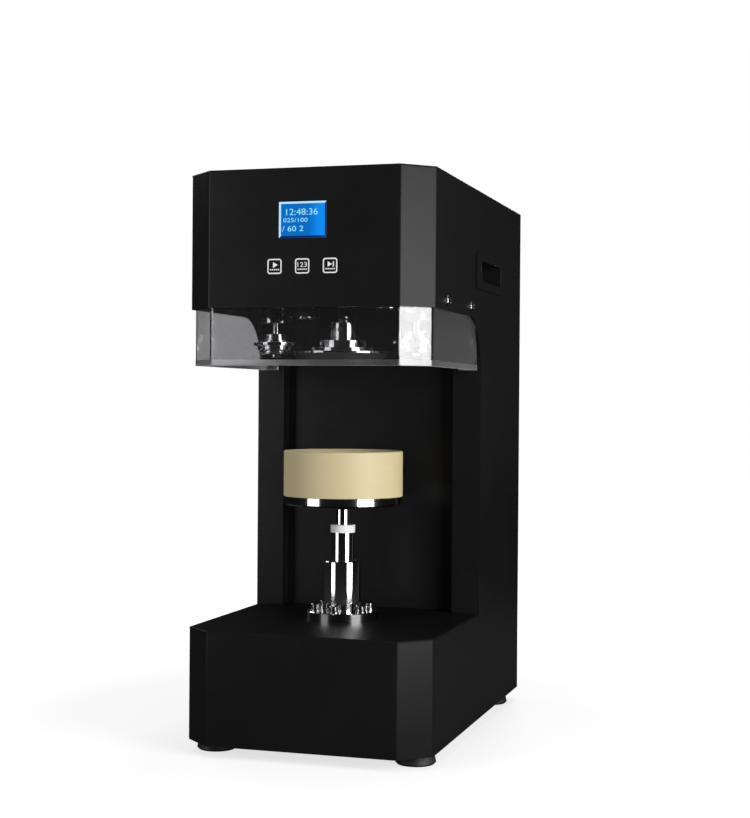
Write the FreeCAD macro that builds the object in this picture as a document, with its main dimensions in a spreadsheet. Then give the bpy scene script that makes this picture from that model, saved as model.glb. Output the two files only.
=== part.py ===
"""Desktop electric can seamer: folded steel housing, seaming head with two roller arms, cam-lifted can seat.

Every sub-part is drawn with the front face of the housing at Y 0 and its bottom edge at Z 0, or about the
spindle axis, and its Placement then moves it into the frame of the machine: X across, Y to the back,
Z up, with the origin on the table under the middle of the housing.
"""
import FreeCAD, Part
import math
import os

import Sketcher

doc = FreeCAD.newDocument("can_seamer")
sheet = doc.addObject("Spreadsheet::Sheet", "Sizes")

# Driving dimensions in millimetres, angles in degrees. Depths are from the front face, heights above the
# housing's bottom edge. A size that is worked out from others is written as its formula.
SIZES = (
    # Housing
    ("width", 260, "housing across the side panels"),
    ("depth", 430, "housing from the front face to the back edge"),
    ("housing_top", 578, "top of the housing"),
    ("wall", 2, "sheet steel of the covers"),
    ("seam", 0.3, "gap between neighbouring covers"),
    ("chamfer_width", 30, "front corner chamfer, along X"),
    ("chamfer_depth", 28, "front corner chamfer, along Y"),
    ("wrap", 8, "front covers folded round onto the sides"),
    ("bend_radius", 5, "outside bend of the covers"),
    ("edge_radius", 1.5, "softened outer edge of deck and top cover"),
    ("deck_top", 115.5, "top of the base"),
    ("head_height", 138, "head from its bottom edge to its top"),
    ("head_bottom", "housing_top - head_height", "bottom edge of the head"),
    ("axis_depth", 136, "spindle and lift axis"),
    ("column_room", 84, "column behind that axis"),
    ("column_front", "axis_depth + column_room", "front of the column"),
    ("column_strip", 29, "front strip of the column beside the recess"),
    ("recess_depth", 18, "recess of the column's front panel"),
    ("recess_back", "column_front + recess_depth + wall", "back of the recessed panel"),
    ("throat_radius", 50, "curve from the head down to the column"),
    ("hem_height", 18, "folded hem along the head's bottom edge"),
    ("hem", 1.8, "thickness of the folded hem inside the wall"),
    ("hem_end", 5, "side hem's end in front of the throat's curve"),
    # Back cover
    ("cover_inset", 2.6, "back cover inside the side panels' back edges"),
    ("back_face", "depth - cover_inset", "outer face of the back cover"),
    ("back_inner", "back_face - wall", "inner face of the back cover"),
    ("back_flange", 16, "flanges of the side panels behind the back cover"),
    ("cover_screw_edge", 9, "cover screws from the side panels"),
    ("cover_screw_low", 20, "lowest cover screws"),
    ("cover_screw_drop", 18, "highest cover screws below the top"),
    ("slot_length", 52, "air slot"),
    ("slot_height", 5, "air slot"),
    ("slot_pitch", 14, "from one row of air slots to the next"),
    ("slot_gap", 24, "between the two columns of air slots"),
    ("slot_drop", 145, "uppermost air slots below the top"),
    # Feet and frame
    ("foot_height", 12, "rubber foot"),
    ("foot_radius", 20.5, "rubber foot"),
    ("foot_inset", 48, "foot centre from the front and from the back"),
    ("foot_edge", 23.5, "foot centre from the side"),
    ("foot_recess", 8, "screw recess of a foot"),
    ("foot_chamfer", 2, "tapers of a foot"),
    ("floor_plate", 6, "thickness of the bottom plate"),
    ("frame_edge", 36, "outer faces of the frame plates from the side"),
    ("frame_thickness", 10, "frame plates"),
    ("frame_gap", 5, "frame plates behind the recessed panel"),
    ("frame_room", 25.4, "frame plates in front of the back cover"),
    ("frame_front", "recess_back + frame_gap", "front edge of the frame plates"),
    ("frame_back", "back_inner - frame_room", "back edge of the frame plates"),
    ("frame_hole", 24, "cable holes of the frame plates"),
    ("brace_rise", 75, "cross brace above the deck"),
    ("brace_height", 60, "cross brace"),
    ("plate_rise", 22, "mechanism plate above the head's bottom edge"),
    ("plate_bottom", "head_bottom + plate_rise", "underside of the mechanism plate"),
    ("plate_thickness", 12, "mechanism plate"),
    ("plate_top", "plate_bottom + plate_thickness", "top of the mechanism plate"),
    ("plate_edge", 12, "mechanism plate from the side"),
    ("plate_front", 16, "front edge of the mechanism plate"),
    ("plate_corner", 14, "cut front corners of the mechanism plate"),
    ("plate_clearance", 6, "mechanism plate clear of the handle pockets"),
    # Guard
    ("guard_thickness", 3, "acrylic guard"),
    ("guard_inset", 4, "guard's outer face inside the housing's faces"),
    ("guard_drop", 57.2, "lower edge of the guard below the head"),
    ("guard_bottom", "head_bottom - guard_drop", "lower edge of the guard"),
    ("guard_return", 20, "rear return of the guard"),
    ("guard_gap", 1.5, "guard in front of the column"),
    ("screw_front", 72, "front guard screw"),
    ("screw_rear", 173, "rear guard screw"),
    ("screw_rise", 9.5, "guard screws above the head's bottom edge"),
    ("screw_height", "head_bottom + screw_rise", "guard screws"),
    ("dome_radius", 4.5, "dome head of the housing screws"),
    ("dome_height", 2.4, "dome head of the housing screws"),
    ("shank_radius", 2, "housing screws"),
    ("screw_clearance", 0.2, "radial clearance of a screw hole"),
    ("screw_hole", "shank_radius + screw_clearance", "screw hole of the covers"),
    # Handle pockets
    ("handle_front", 193, "front edge of the handle flange"),
    ("handle_length", 137, "handle flange"),
    ("handle_drop", 67, "handle flange below the top"),
    ("handle_height", 40.5, "handle flange"),
    ("handle_high", "housing_top - handle_drop", "upper edge of the handle flange"),
    ("handle_border", 9, "flange round the handle opening, above and below"),
    ("handle_end", 20, "flange round the handle opening, front and back"),
    ("handle_depth", 26, "pocket depth behind the panel's face"),
    ("handle_skin", 2.5, "moulded wall of the pocket"),
    ("handle_flange", 1.6, "handle flange outside the panel"),
    ("handle_corner", 6, "corners of the handle opening"),
    ("handle_scoop", 16, "lower front corner of the handle opening"),
    # Controls
    ("screen_width", 50, "display window"),
    ("screen_height", 36, "display window"),
    ("screen_drop", 33.7, "display window below the top"),
    ("screen_low", "housing_top - screen_drop - screen_height", "lower edge of the display window"),
    ("screen_gap", 0.2, "gap round the display lens"),
    ("lens_recess", 0.5, "display lens behind the front face"),
    ("key_size", 15.4, "square key cap"),
    ("key_corner", 2.75, "corners of a key cap"),
    ("key_gap", 0.25, "gap round a key cap"),
    ("key_pitch", 29, "from key to key"),
    ("key_drop", 27.8, "keys below the display window"),
    ("key_height", "screen_low - key_drop", "centre line of the keys"),
    ("key_travel", 0.8, "travel of a key"),
    ("key_recess", 0.2, "key caps behind the front face"),
    ("key_skirt", 1.2, "skirt of a key behind the cover"),
    ("key_stem", 2, "half width of a key's stem"),
    ("switch_face", "wall + 4.2", "face of the key switches"),
    ("board_thickness", 1.6, "circuit boards"),
    # Control board behind the frame plates
    ("board_gap", 12, "control board behind the frame plates"),
    ("board_width", 140, "control board"),
    ("board_height", 105, "control board"),
    ("board_drop", 12, "control board below the main motor"),
    ("spacer_radius", 3, "spacers of the control board"),
    # Inlet and switch
    ("inlet_low", 24, "lower edge of the inlet module"),
    ("inlet_width", 48, "inlet cut-out"),
    ("inlet_height", 58, "inlet cut-out"),
    ("inlet_depth", 24, "inlet module inside the back cover"),
    ("inlet_rim", 3, "rim of the inlet module round its cut-out"),
    ("inlet_rim_height", 1.8, "rim of the inlet module outside the back cover"),
    ("mouth_low", 5, "mouth of the inlet above the cut-out's lower edge"),
    ("mouth_width", 24, "mouth of the inlet"),
    ("mouth_height", 16, "mouth of the inlet"),
    ("mouth_depth", 16, "mouth of the inlet inside the back face"),
    ("pin_length", 12, "pins of the inlet"),
    ("rocker_drop", 15, "switch rocker's pivot below the cut-out's upper edge"),
    ("rocker_half", 12, "half height of the rocker's opening"),
    ("rocker_width", 20, "switch rocker"),
    ("rocker_gap", 0.3, "switch rocker in its opening"),
    ("rocker_pivot", 2.2, "trunnions of the rocker"),
    ("rocker_sink", 3, "rocker's pivot inside the back face"),
    ("rocker_tilt", 6, "rocker's tilt to its off side, in degrees"),
    ("rocker_neck", 5, "half height of the rocker behind its pivot"),
    ("rocker_tip", 10.8, "half height of the rocker's face"),
    ("rocker_rise", 3.4, "ends of the rocker's face outside its pivot"),
    ("rocker_dish", 1.2, "dished middle of the rocker's face"),
    # Fits
    ("running_gap", 0.05, "radial running clearance"),
    ("fit_gap", 0.02, "radial gap of fitted pieces"),
    ("axial_gap", 0.3, "end clearance of turning pieces"),
    # Spindle and chuck
    ("spindle_radius", 7.5, "chuck spindle"),
    ("spindle_rise", 41, "spindle above the mechanism plate's underside"),
    ("chuck_radius", 54, "flange of the chuck"),
    ("chuck_drop", 49.7, "chuck's lower face below the head"),
    ("chuck_bottom", "head_bottom - chuck_drop", "lower face of the chuck"),
    ("chuck_lip", 6, "depth of the lip that fills a lid's countersink"),
    ("chuck_lip_width", 11.5, "that lip"),
    ("chuck_taper", 1.5, "taper of the lip and its inner edge"),
    ("chuck_shoulder", 7.4, "shoulder of the chuck's flange above its lower face"),
    ("chuck_flange", 9.7, "top of the chuck's flange above its lower face"),
    ("chuck_step_radius", 34.5, "lower step of the chuck"),
    ("chuck_step", 14, "top of the lower step"),
    ("chuck_collar_radius", 26.5, "upper step of the chuck"),
    ("chuck_collar", 21.8, "top of the upper step"),
    ("chuck_hub_radius", 14.5, "hub of the chuck"),
    ("chuck_hub", 41.2, "top of the hub"),
    ("hub_chamfer", 1, "chamfer of the hub"),
    ("set_screw", 2.6, "set-screw hole of the hub"),
    ("set_screw_height", 33, "set-screw hole above the chuck's lower face"),
    ("bearing_radius", 17.5, "outer race of the deep-groove bearings"),
    ("bearing_width", 11, "deep-groove bearings"),
    ("race_inner", 3, "inner race of a bearing"),
    ("race_outer", 2.5, "outer race of a bearing"),
    ("shield_depth", 0.8, "bearing shields below the races"),
    ("housing_radius", 25, "spindle housing tube"),
    ("housing_flange", 37, "spindle housing flange"),
    ("housing_flange_height", 8, "spindle housing flange under the plate"),
    ("housing_floor", 2, "floor of the spindle housing"),
    ("housing_rise", 4, "spindle housing above the plate"),
    # Belt drive
    ("pulley_radius", 36, "spindle pulley, at the belt"),
    ("motor_pulley_radius", 20, "motor pulley, at the belt"),
    ("pulley_flange", 2, "pulley flanges above the belt's seat"),
    ("pulley_hub", 8, "wall of the spindle pulley's hub"),
    ("groove_depth", 1.8, "grooves of the pulleys"),
    ("belt_rise", 22, "belt above the mechanism plate's underside"),
    ("belt_low", "plate_bottom + belt_rise", "lower edge of the belt"),
    ("belt_width", 13, "drive belt"),
    ("belt_thickness", 3, "drive belt"),
    ("belt_gap", 0.15, "belt above its seat"),
    ("motor_depth", "(recess_back + back_inner) / 2", "main motor axis, midway in the column"),
    ("motor_radius", 48, "main motor"),
    ("motor_length", 150, "main motor under the plate"),
    ("motor_low", "plate_bottom - motor_length", "lower end of the main motor"),
    ("motor_bell", 12, "tapered end of the main motor"),
    ("motor_collar", 30, "motor up to its waist, and from its waist to its flange"),
    ("motor_waist", 3, "waist of the motor inside its collars"),
    ("motor_shaft", 7, "shaft of the main motor"),
    ("motor_shaft_depth", 24, "motor pulley's shaft into the motor"),
    # Roller arms, about the spindle axis
    ("roller_x", -84.7, "open roller from the spindle"),
    ("roller_y", 20, "open roller from the spindle"),
    ("pivot_x", -70.9, "arm pivot from the spindle"),
    ("pivot_y", 78.4, "arm pivot from the spindle"),
    ("arm_thickness", 14, "roller arm"),
    ("bush_flange", 6.2, "flange of the arm bushes under the plate"),
    ("bush_wall", 4, "wall of the arm bushes"),
    ("bush_lip", 3, "flange of the arm bushes outside their wall"),
    ("bush_top", 2, "arm bushes above the plate"),
    ("arm_bottom", "plate_bottom - bush_flange - axial_gap - arm_thickness", "underside of a roller arm"),
    ("arm_eye", 16, "pivot eye of an arm"),
    ("arm_root", 14, "half width of the arm at its pivot"),
    ("arm_tip", 12, "half width of the arm at its roller"),
    ("boss_radius", 16.5, "roller boss of an arm"),
    ("boss_drop", 10.5, "roller boss below the arm"),
    ("boss_bottom", "arm_bottom - boss_drop", "underside of the roller boss"),
    ("boss_chamfer", 1.2, "chamfer of the roller boss"),
    ("bolt_grip", 12, "roller bolt in the boss"),
    ("arm_shaft_radius", 8, "arm pivot shaft"),
    ("arm_shaft_head", 3, "head of the arm pivot shaft"),
    ("lever_rise", 29, "follower levers above the plate"),
    ("lever_low", "plate_top + lever_rise", "underside of the follower levers"),
    ("lever_thickness", 8, "follower levers and their cams"),
    ("lever_plate", 3, "upper part of a lever, over its cam"),
    ("lever_eye", 14, "pivot eye of a follower lever"),
    ("lever_length", 35, "arm pivot to cam follower"),
    ("follower_radius", 6, "cam follower"),
    ("cam_offset", 15.1, "arm cam centre from the follower"),
    ("cam_gap", 0.15, "arm cam to its follower"),
    ("cam_shaft", 2.5, "shaft of a cam motor"),
    ("arm_swing", 13.4, "swing that closes an arm, in degrees"),
    ("cam_turn", 180, "turn of an arm cam over that swing, in degrees"),
    ("roller_rise", 7.4, "roller above the chuck's lower face"),
    ("roller_foot", 13, "lower end of a seaming roller"),
    ("roller_ring", 18.5, "ring under the groove"),
    ("roller_groove", 16.5, "floor of the groove that folds the seam"),
    ("roller_shoulder", 20, "ring over the groove"),
    ("roller_rim", 24, "rim of a seaming roller"),
    ("roller_body", 15.5, "body of a seaming roller over its rim"),
    ("roller_neck", 12.8, "neck of a seaming roller"),
    ("ring_low", 1, "ring above the roller's lower end"),
    ("ring_high", 2, "upper edge of the ring"),
    ("groove_low", 2.8, "floor of the groove, lower edge"),
    ("groove_high", 4.2, "floor of the groove, upper edge"),
    ("shoulder_low", 5.4, "ring over the groove, lower edge"),
    ("rim_low", 9.9, "rim, lower edge"),
    ("rim_high", 13.7, "rim, upper edge"),
    ("body_high", 16, "body, upper edge"),
    ("roller_height", 23, "seaming roller"),
    ("roller_chamfer", 1, "chamfer of the neck"),
    ("roller_bore", 4, "roller bolt"),
    ("bolt_head", 5, "collar of the roller bolt"),
    ("bolt_head_rise", 4.3, "roller bolt above the chuck's lower face"),
    ("bolt_gap", 0.2, "roller bolt's collar under the roller"),
    # Cam motors
    ("cam_motor_half", 21, "half width of a cam motor"),
    ("cam_motor_height", 42, "cam motor"),
    ("cam_motor_corner", 4, "cut corners of a cam motor"),
    ("cam_motor_pilot", 11, "pilot of a cam motor"),
    ("bracket_thickness", 3.5, "cam motor bracket"),
    ("bracket_gap", 4, "bracket above the follower lever"),
    ("bracket_half", 22, "half width of a bracket"),
    ("bracket_ear", 6, "ear of a bracket for its third post"),
    ("post_radius", 3.5, "posts of a bracket"),
    ("post_spot", 17, "posts from the motor's axis"),
    # Can lift, about the lift axis
    ("lift_travel", 30, "lift of the can seat"),
    ("lift_turn", 240, "turn of the lift cam over that travel, in degrees"),
    ("guide_radius", 20, "guide tube"),
    ("guide_flange", 38, "flange of the guide tube"),
    ("guide_flange_height", 9.5, "flange of the guide tube"),
    ("guide_height", 62.1, "guide above the deck"),
    ("guide_top", "deck_top + guide_height", "top of the guide tube"),
    ("guide_chamfer", 0.8, "chamfers of the guide"),
    ("guide_bolt_circle", 29, "screw circle radius of the flange"),
    ("guide_screw_head", 5, "socket head of the guide screws"),
    ("guide_screw_height", 7.5, "socket head and washer of the guide screws"),
    ("washer_radius", 6, "washers of the guide screws"),
    ("washer_height", 1.4, "washers of the guide screws"),
    ("bush_thickness", 3, "bronze bush between ram and guide"),
    ("bush_rise", 13, "bronze bush above the deck"),
    ("bush_recess", 0.5, "bronze bush below the guide's top"),
    ("ram_radius", 12.5, "lift ram"),
    ("ram_show", 30.2, "ram above its guide with the seat down"),
    ("ram_top", "guide_top + ram_show", "top of the ram"),
    ("rod_radius", 8, "height rod"),
    ("rod_show", 21.6, "height rod between lock ring and seat plate"),
    ("rod_length", 109.5, "height rod below the seat plate"),
    ("rod_flare", 2.5, "flare of the rod under the seat plate"),
    ("journal_radius", 6, "journal of the seat plate"),
    ("journal_height", 12, "journal of the seat plate"),
    ("ring_height", 8.1, "nylon lock ring"),
    ("ring_radius", 13.2, "nylon lock ring"),
    ("ring_chamfer", 0.5, "nylon lock ring"),
    ("seat_plate_low", "ram_top + ring_height + rod_show", "underside of the seat plate"),
    ("seat_plate_height", 9.5, "seat plate"),
    ("seat_plate_radius", 62.5, "seat plate"),
    ("seat_low", "seat_plate_low + seat_plate_height", "underside of the can seat"),
    ("seat_radius", 63.5, "nylon can seat"),
    ("seat_height", 48, "nylon can seat"),
    ("seat_floor", 7, "floor of the can seat"),
    ("seat_hole", 8, "hole in the floor of the can seat"),
    ("can_radius", 58.9, "bore that the can stands in"),
    ("can_lead", 1.2, "lead-in chamfer of that bore"),
    ("bridge_front", 57, "lift bridge from the lift axis"),
    ("bridge_half", 45, "half width of the lift bridge"),
    ("bridge_leg", 6, "legs of the lift bridge"),
    ("bridge_table", 8, "table of the lift bridge"),
    ("lift_cam_pitch", 26, "lift cam axis to follower with the seat down"),
    ("lift_cam_room", 3, "lift cam above the bottom plate"),
    ("lift_cam_gap", 0.2, "lift cam to its follower"),
    ("lift_cam_thickness", 9, "lift cam"),
    ("lift_shaft", 6, "shaft of the lift cam"),
    ("ram_follower_radius", 9, "follower of the ram"),
    ("lift_cam_height", "floor_plate + lift_cam_room + lift_cam_pitch + lift_travel - ram_follower_radius",
     "lift cam axis"),
    ("follower_height", "lift_cam_height + lift_cam_pitch", "axis of the ram's follower"),
    ("follower_pin", 3, "pin of the ram's follower"),
    ("ram_slot", 10, "slot of the ram over the cam"),
    ("slot_clearance", 4, "slot above the follower"),
    ("gearbox_half", 26, "half width of the lift gear box"),
    ("gearbox_start", 14, "lift gear box from the middle plane"),
    ("gearbox_length", 36, "lift gear box"),
    ("gearmotor_radius", 24, "lift motor"),
    ("gearmotor_length", 58, "lift motor"),
)
SLOT_ROWS = 8
COVER_SCREWS = 4
GUIDE_SCREWS = 6
PULLEY_GROOVES = 3
# Transformer, relays, heat sink and terminals of the control board: place across and up, size, and depth
BOARD_PARTS = ((10, 10, 30, 20, 12), (50, 10, 45, 35, 10), (105, 65, 27, 30, 9), (8, 70, 42, 15, 8))
# Pins of the inlet from its middle, across and up
INLET_PINS = ((-7, -1.5), (0, 2.5), (7, -1.5))


def text_of(x):
    return x.text if isinstance(x, Dim) else "%.6f" % float(x)


def value_of(x):
    return x.value if isinstance(x, Dim) else float(x)


class Dim:
    """A length or angle that knows both its value and its formula over the sheet of sizes."""

    def __init__(self, text, value):
        self.text = text
        self.value = float(value)

    def _with(self, other, sign, value):
        return Dim("(%s %s %s)" % (self.text, sign, text_of(other)), value)

    def __add__(self, other):
        return self._with(other, "+", self.value + value_of(other))

    def __radd__(self, other):
        return Dim("(%s + %s)" % (text_of(other), self.text), value_of(other) + self.value)

    def __sub__(self, other):
        return self._with(other, "-", self.value - value_of(other))

    def __rsub__(self, other):
        return Dim("(%s - %s)" % (text_of(other), self.text), value_of(other) - self.value)

    def __mul__(self, other):
        return self._with(other, "*", self.value * value_of(other))

    def __rmul__(self, other):
        return self * other

    def __truediv__(self, other):
        return self._with(other, "/", self.value / value_of(other))

    def __neg__(self):
        return Dim("(-1 * %s)" % self.text, -self.value)


class Sizes:
    """The driving dimensions by name."""


def fill_sheet():
    """Writes each size with its alias and note into the sheet, and returns them by name."""
    for row, (name, value, note) in enumerate(SIZES, start=1):
        sheet.set("A%d" % row, name)
        sheet.set("B%d" % row, "=" + value if isinstance(value, str) else repr(value))
        sheet.set("C%d" % row, note)
        sheet.setAlias("B%d" % row, name)
    doc.recompute()
    sizes = Sizes()
    for name, _, _ in SIZES:
        setattr(sizes, name, Dim("Sizes.%s" % name, sheet.get(name)))
    return sizes


d = fill_sheet()
HALF = d.width / 2
HOUSE = (0, -(d.depth / 2), d.foot_height)
AXIS = (0, d.axis_depth - d.depth / 2, d.foot_height)
MOTOR = (0, d.motor_depth - d.depth / 2, d.foot_height)
CHAMFER = math.atan2(d.chamfer_depth.value, d.chamfer_width.value)
CHAMFER_TEXT = "atan2(%s; %s)" % (d.chamfer_depth.text, d.chamfer_width.text)
FRONT_SHIFT = Dim("tan(%s / 2)" % CHAMFER_TEXT, math.tan(CHAMFER / 2))
SIDE_SHIFT = Dim("tan((90 deg - %s) / 2)" % CHAMFER_TEXT, math.tan((math.pi / 2 - CHAMFER) / 2))
UP = FreeCAD.Vector(0, 0, 1)
THROUGH = 1
parts = []


# Helpers for bodies, sketches and features

def place(thing, base, turn=0):
    """Sets the Placement: base is three lengths, turn is degrees about Z."""
    at = FreeCAD.Vector(*[value_of(v) for v in base])
    thing.Placement = FreeCAD.Placement(at, FreeCAD.Rotation(UP, turn))
    for axis, length in zip("xyz", base):
        if isinstance(length, Dim):
            thing.setExpression("Placement.Base.%s" % axis, length.text)


def new_body(label, base=HOUSE, turn=0):
    body = doc.addObject("PartDesign::Body", label)
    body.Label = label
    place(body, base, turn)
    parts.append(body)
    return body


def member(name, base, turn=0):
    """A body that belongs to a group of like pieces."""
    body = doc.addObject("PartDesign::Body", name)
    place(body, base, turn)
    return body


def group(label, members, base=HOUSE):
    """Several like pieces in one node, each a solid of its own."""
    made = doc.addObject("Part::Compound", label)
    made.Label = label
    made.Links = members
    place(made, base)
    parts.append(made)


def solid_of(label, shape, base, turn=0):
    """A sub-part whose curved outline is worked out from the sizes."""
    made = doc.addObject("Part::Feature", label)
    made.Label = label
    made.Shape = shape
    place(made, base, turn)
    parts.append(made)


def new_sketch(body, role, offset=0):
    """A sketch on an origin plane of its body, moved along the plane's normal by offset."""
    sketch = body.newObject("Sketcher::SketchObject", "Sketch")
    plane = next(f for f in body.Origin.OriginFeatures if f.Role == role)
    sketch.AttachmentSupport = [(plane, "")]
    sketch.MapMode = "FlatFace"
    shift = -offset if role == "XZ_Plane" else offset
    sketch.AttachmentOffset = FreeCAD.Placement(
        FreeCAD.Vector(0, 0, value_of(shift)), FreeCAD.Rotation())
    if isinstance(shift, Dim):
        sketch.setExpression("AttachmentOffset.Base.z", shift.text)
    return sketch


def bind(sketch, index, length):
    if isinstance(length, Dim):
        sketch.setExpression("Constraints[%d]" % index, length.text)


def hold_points(sketch, holds):
    """Fixes points of a sketch, each given as geometry, end, x and y, by their distances from the origin."""
    lengths = [length for _, _, *point in holds for length in point]
    first = sketch.addConstraint([
        Sketcher.Constraint(kind, -1, 1, geometry, end, value_of(length))
        for geometry, end, *point in holds
        for kind, length in zip(("DistanceX", "DistanceY"), point)])[0]
    for offset, length in enumerate(lengths):
        bind(sketch, first + offset, length)


def flat(point):
    return FreeCAD.Vector(value_of(point[0]), value_of(point[1]), 0)


def corner_ends(points, i):
    """Where an outline's straight sides end beside corner i: at it, or a radius before and after it."""
    x, y = points[i][:2]
    if len(points[i]) == 2:
        return (x, y), (x, y)
    radius = points[i][2]
    ends = []
    for neighbour in (points[i - 1], points[(i + 1) % len(points)]):
        away = flat(neighbour) - flat((x, y))
        if abs(away.x) > abs(away.y):
            ends.append((x + radius * math.copysign(1, away.x), y))
        else:
            ends.append((x, y + radius * math.copysign(1, away.y)))
    return tuple(ends)


def outline(sketch, points):
    """A closed outline through points (x, y), or (x, y, radius) for a rounded corner of level and upright
    sides."""
    count = len(points)
    ends = [corner_ends(points, i) for i in range(count)]
    first = sketch.GeometryCount
    sketch.addGeometry([
        Part.LineSegment(flat(ends[i][1]), flat(ends[(i + 1) % count][0])) for i in range(count)], False)
    holds = [(first + i, 1, *ends[i][1]) for i in range(count)]
    joins = []
    for i in range(count):
        before, after = first + (i - 1) % count, first + i
        if len(points[i]) == 2:
            joins.append(Sketcher.Constraint("Coincident", before, 2, after, 1))
        else:
            holds.append((before, 2, *ends[i][0]))
            round_corner(sketch, points[i], ends[i], before, after)
    if joins:
        sketch.addConstraint(joins)
    hold_points(sketch, holds)


def round_corner(sketch, point, ends, before, after):
    """The arc of a rounded corner, joined to the sides before and after it."""
    radius = point[2]
    enter, leave = flat(ends[0]), flat(ends[1])
    centre = enter + leave - flat(point)
    spokes = [enter - centre, leave - centre]
    left_turn = spokes[0].cross(spokes[1]).z > 0
    if not left_turn:
        spokes.reverse()
    start, stop = [math.atan2(spoke.y, spoke.x) for spoke in spokes]
    if stop < start:
        stop += 2 * math.pi
    arc = sketch.addGeometry(Part.ArcOfCircle(Part.Circle(centre, UP, value_of(radius)), start, stop), False)
    enter_end, leave_end = (1, 2) if left_turn else (2, 1)
    index = sketch.addConstraint([
        Sketcher.Constraint("Coincident", before, 2, arc, enter_end),
        Sketcher.Constraint("Coincident", after, 1, arc, leave_end),
        Sketcher.Constraint("Radius", arc, value_of(radius))])
    bind(sketch, index[2], radius)


def circle(sketch, x, y, radius):
    geometry = sketch.addGeometry(Part.Circle(flat((x, y)), UP, value_of(radius)), False)
    hold_points(sketch, [(geometry, 3, x, y)])
    bind(sketch, sketch.addConstraint(Sketcher.Constraint("Radius", geometry, value_of(radius))), radius)


def extruded(body, kind, role, offset, length, reverse, shapes):
    """A pad or pocket of outlines: each shape is a list of points, or a circle as (x, y, radius)."""
    sketch = new_sketch(body, role, offset)
    for shape in shapes:
        if isinstance(shape, list):
            outline(sketch, shape)
        else:
            circle(sketch, *shape)
    made = body.newObject("PartDesign::" + kind, kind)
    made.Profile = sketch
    made.Length = value_of(length)
    if isinstance(length, Dim):
        made.setExpression("Length", length.text)
    made.Reversed = reverse


def pad(body, role, offset, length, *shapes):
    """Pads outlines from the plane at offset towards plus X, Y or Z."""
    extruded(body, "Pad", role, offset, length, role == "XZ_Plane", shapes)


def pocket(body, role, offset, length, *shapes):
    """Cuts outlines from the plane at offset towards plus X, Y or Z."""
    extruded(body, "Pocket", role, offset, length, role != "XZ_Plane", shapes)


def cut_through(body, role, offset, length, *shapes):
    """Cuts outlines right through what lies between offset and offset plus length."""
    pocket(body, role, offset - THROUGH, length + 2 * THROUGH, *shapes)


def turned(body, points):
    """Revolves an outline of (radius, height) points about the body's Z axis."""
    sketch = new_sketch(body, "XZ_Plane")
    outline(sketch, points)
    made = body.newObject("PartDesign::Revolution", "Revolution")
    made.Profile = sketch
    made.ReferenceAxis = (sketch, ["V_Axis"])
    made.Angle = 360


def tube(body, inner, outer, low, high):
    turned(body, [(inner, low), (outer, low), (outer, high), (inner, high)])


def soften(body, kind, size, wanted):
    """A Fillet or Chamfer on the edges of the last feature that the test picks by edge and middle point."""
    doc.recompute()
    base = body.Tip
    names = []
    for number, edge in enumerate(base.Shape.Edges, start=1):
        middle = edge.valueAt((edge.FirstParameter + edge.LastParameter) / 2)
        if wanted(edge, middle):
            names.append("Edge%d" % number)
    if not names:
        raise ValueError("no edge to soften on " + body.Label)
    made = body.newObject("PartDesign::" + kind, kind)
    made.Base = (base, names)
    prop = "Radius" if kind == "Fillet" else "Size"
    setattr(made, prop, value_of(size))
    made.setExpression(prop, size.text)


def near(value, length, tolerance=0.05):
    return abs(value - value_of(length)) < tolerance


def upright(edge):
    return isinstance(edge.Curve, Part.Line) and abs(edge.Curve.Direction.z) > 0.999


def box_points(x0, y0, x1, y1):
    return [(x0, y0), (x1, y0), (x1, y1), (x0, y1)]


def square(x, y, half, *radius):
    """Corners of a square about x, y, rounded where a radius is given."""
    return [(*point, *radius) for point in box_points(x - half, y - half, x + half, y + half)]


def between(side, inner, outer):
    """The lower X and the width of a slab on one side, between two distances from the machine's middle."""
    return (-outer if side < 0 else inner), outer - inner


# The chamfered outline of the housing

def front_corners(inset):
    """The four front corners of the plan outline, inset from the housing's faces, left to right."""
    side_x = HALF - inset
    side_y = d.chamfer_depth + inset * SIDE_SHIFT
    front_x = HALF - d.chamfer_width - inset * FRONT_SHIFT
    return [(-side_x, side_y), (-front_x, inset), (front_x, inset), (side_x, side_y)]


def wrap_points(inset, thickness, end):
    """Plan outline of a sheet that wraps the front and both chamfers and ends at Y end on each side."""
    outer_x = HALF - inset
    inner_x = outer_x - thickness
    return [(-outer_x, end), *front_corners(inset), (outer_x, end),
            (inner_x, end), *reversed(front_corners(inset + thickness)), (-inner_x, end)]


def round_bends(body, inset, thickness):
    """Rounds the outside bends of a wrapped sheet, and its inside bends by a wall less."""
    for shift, radius in ((inset, d.bend_radius), (inset + thickness, d.bend_radius - thickness)):
        corners = [flat(corner) for corner in front_corners(shift)]
        soften(body, "Fillet", radius, lambda edge, middle: upright(edge) and any(
            near(middle.x, corner.x) and near(middle.y, corner.y) for corner in corners))


def front_cover(label, low, high):
    """A folded front cover over the height from low to high."""
    body = new_body(label)
    pad(body, "XY_Plane", low, high - low, wrap_points(0, d.wall, d.chamfer_depth + d.wrap))
    round_bends(body, 0, d.wall)
    return body


def round_upper_rim(body, height, end):
    """Softens the upper rim of a flat cover from its front to Y end."""
    soften(body, "Fillet", d.edge_radius, lambda edge, middle: near(middle.z, height)
           and isinstance(edge.Curve, Part.Line) and middle.y < end.value - THROUGH
           and edge.Length > d.edge_radius.value * 4)


# Housing

def base_front_cover():
    front_cover("base_front_cover", 0, d.deck_top - d.wall)


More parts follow.
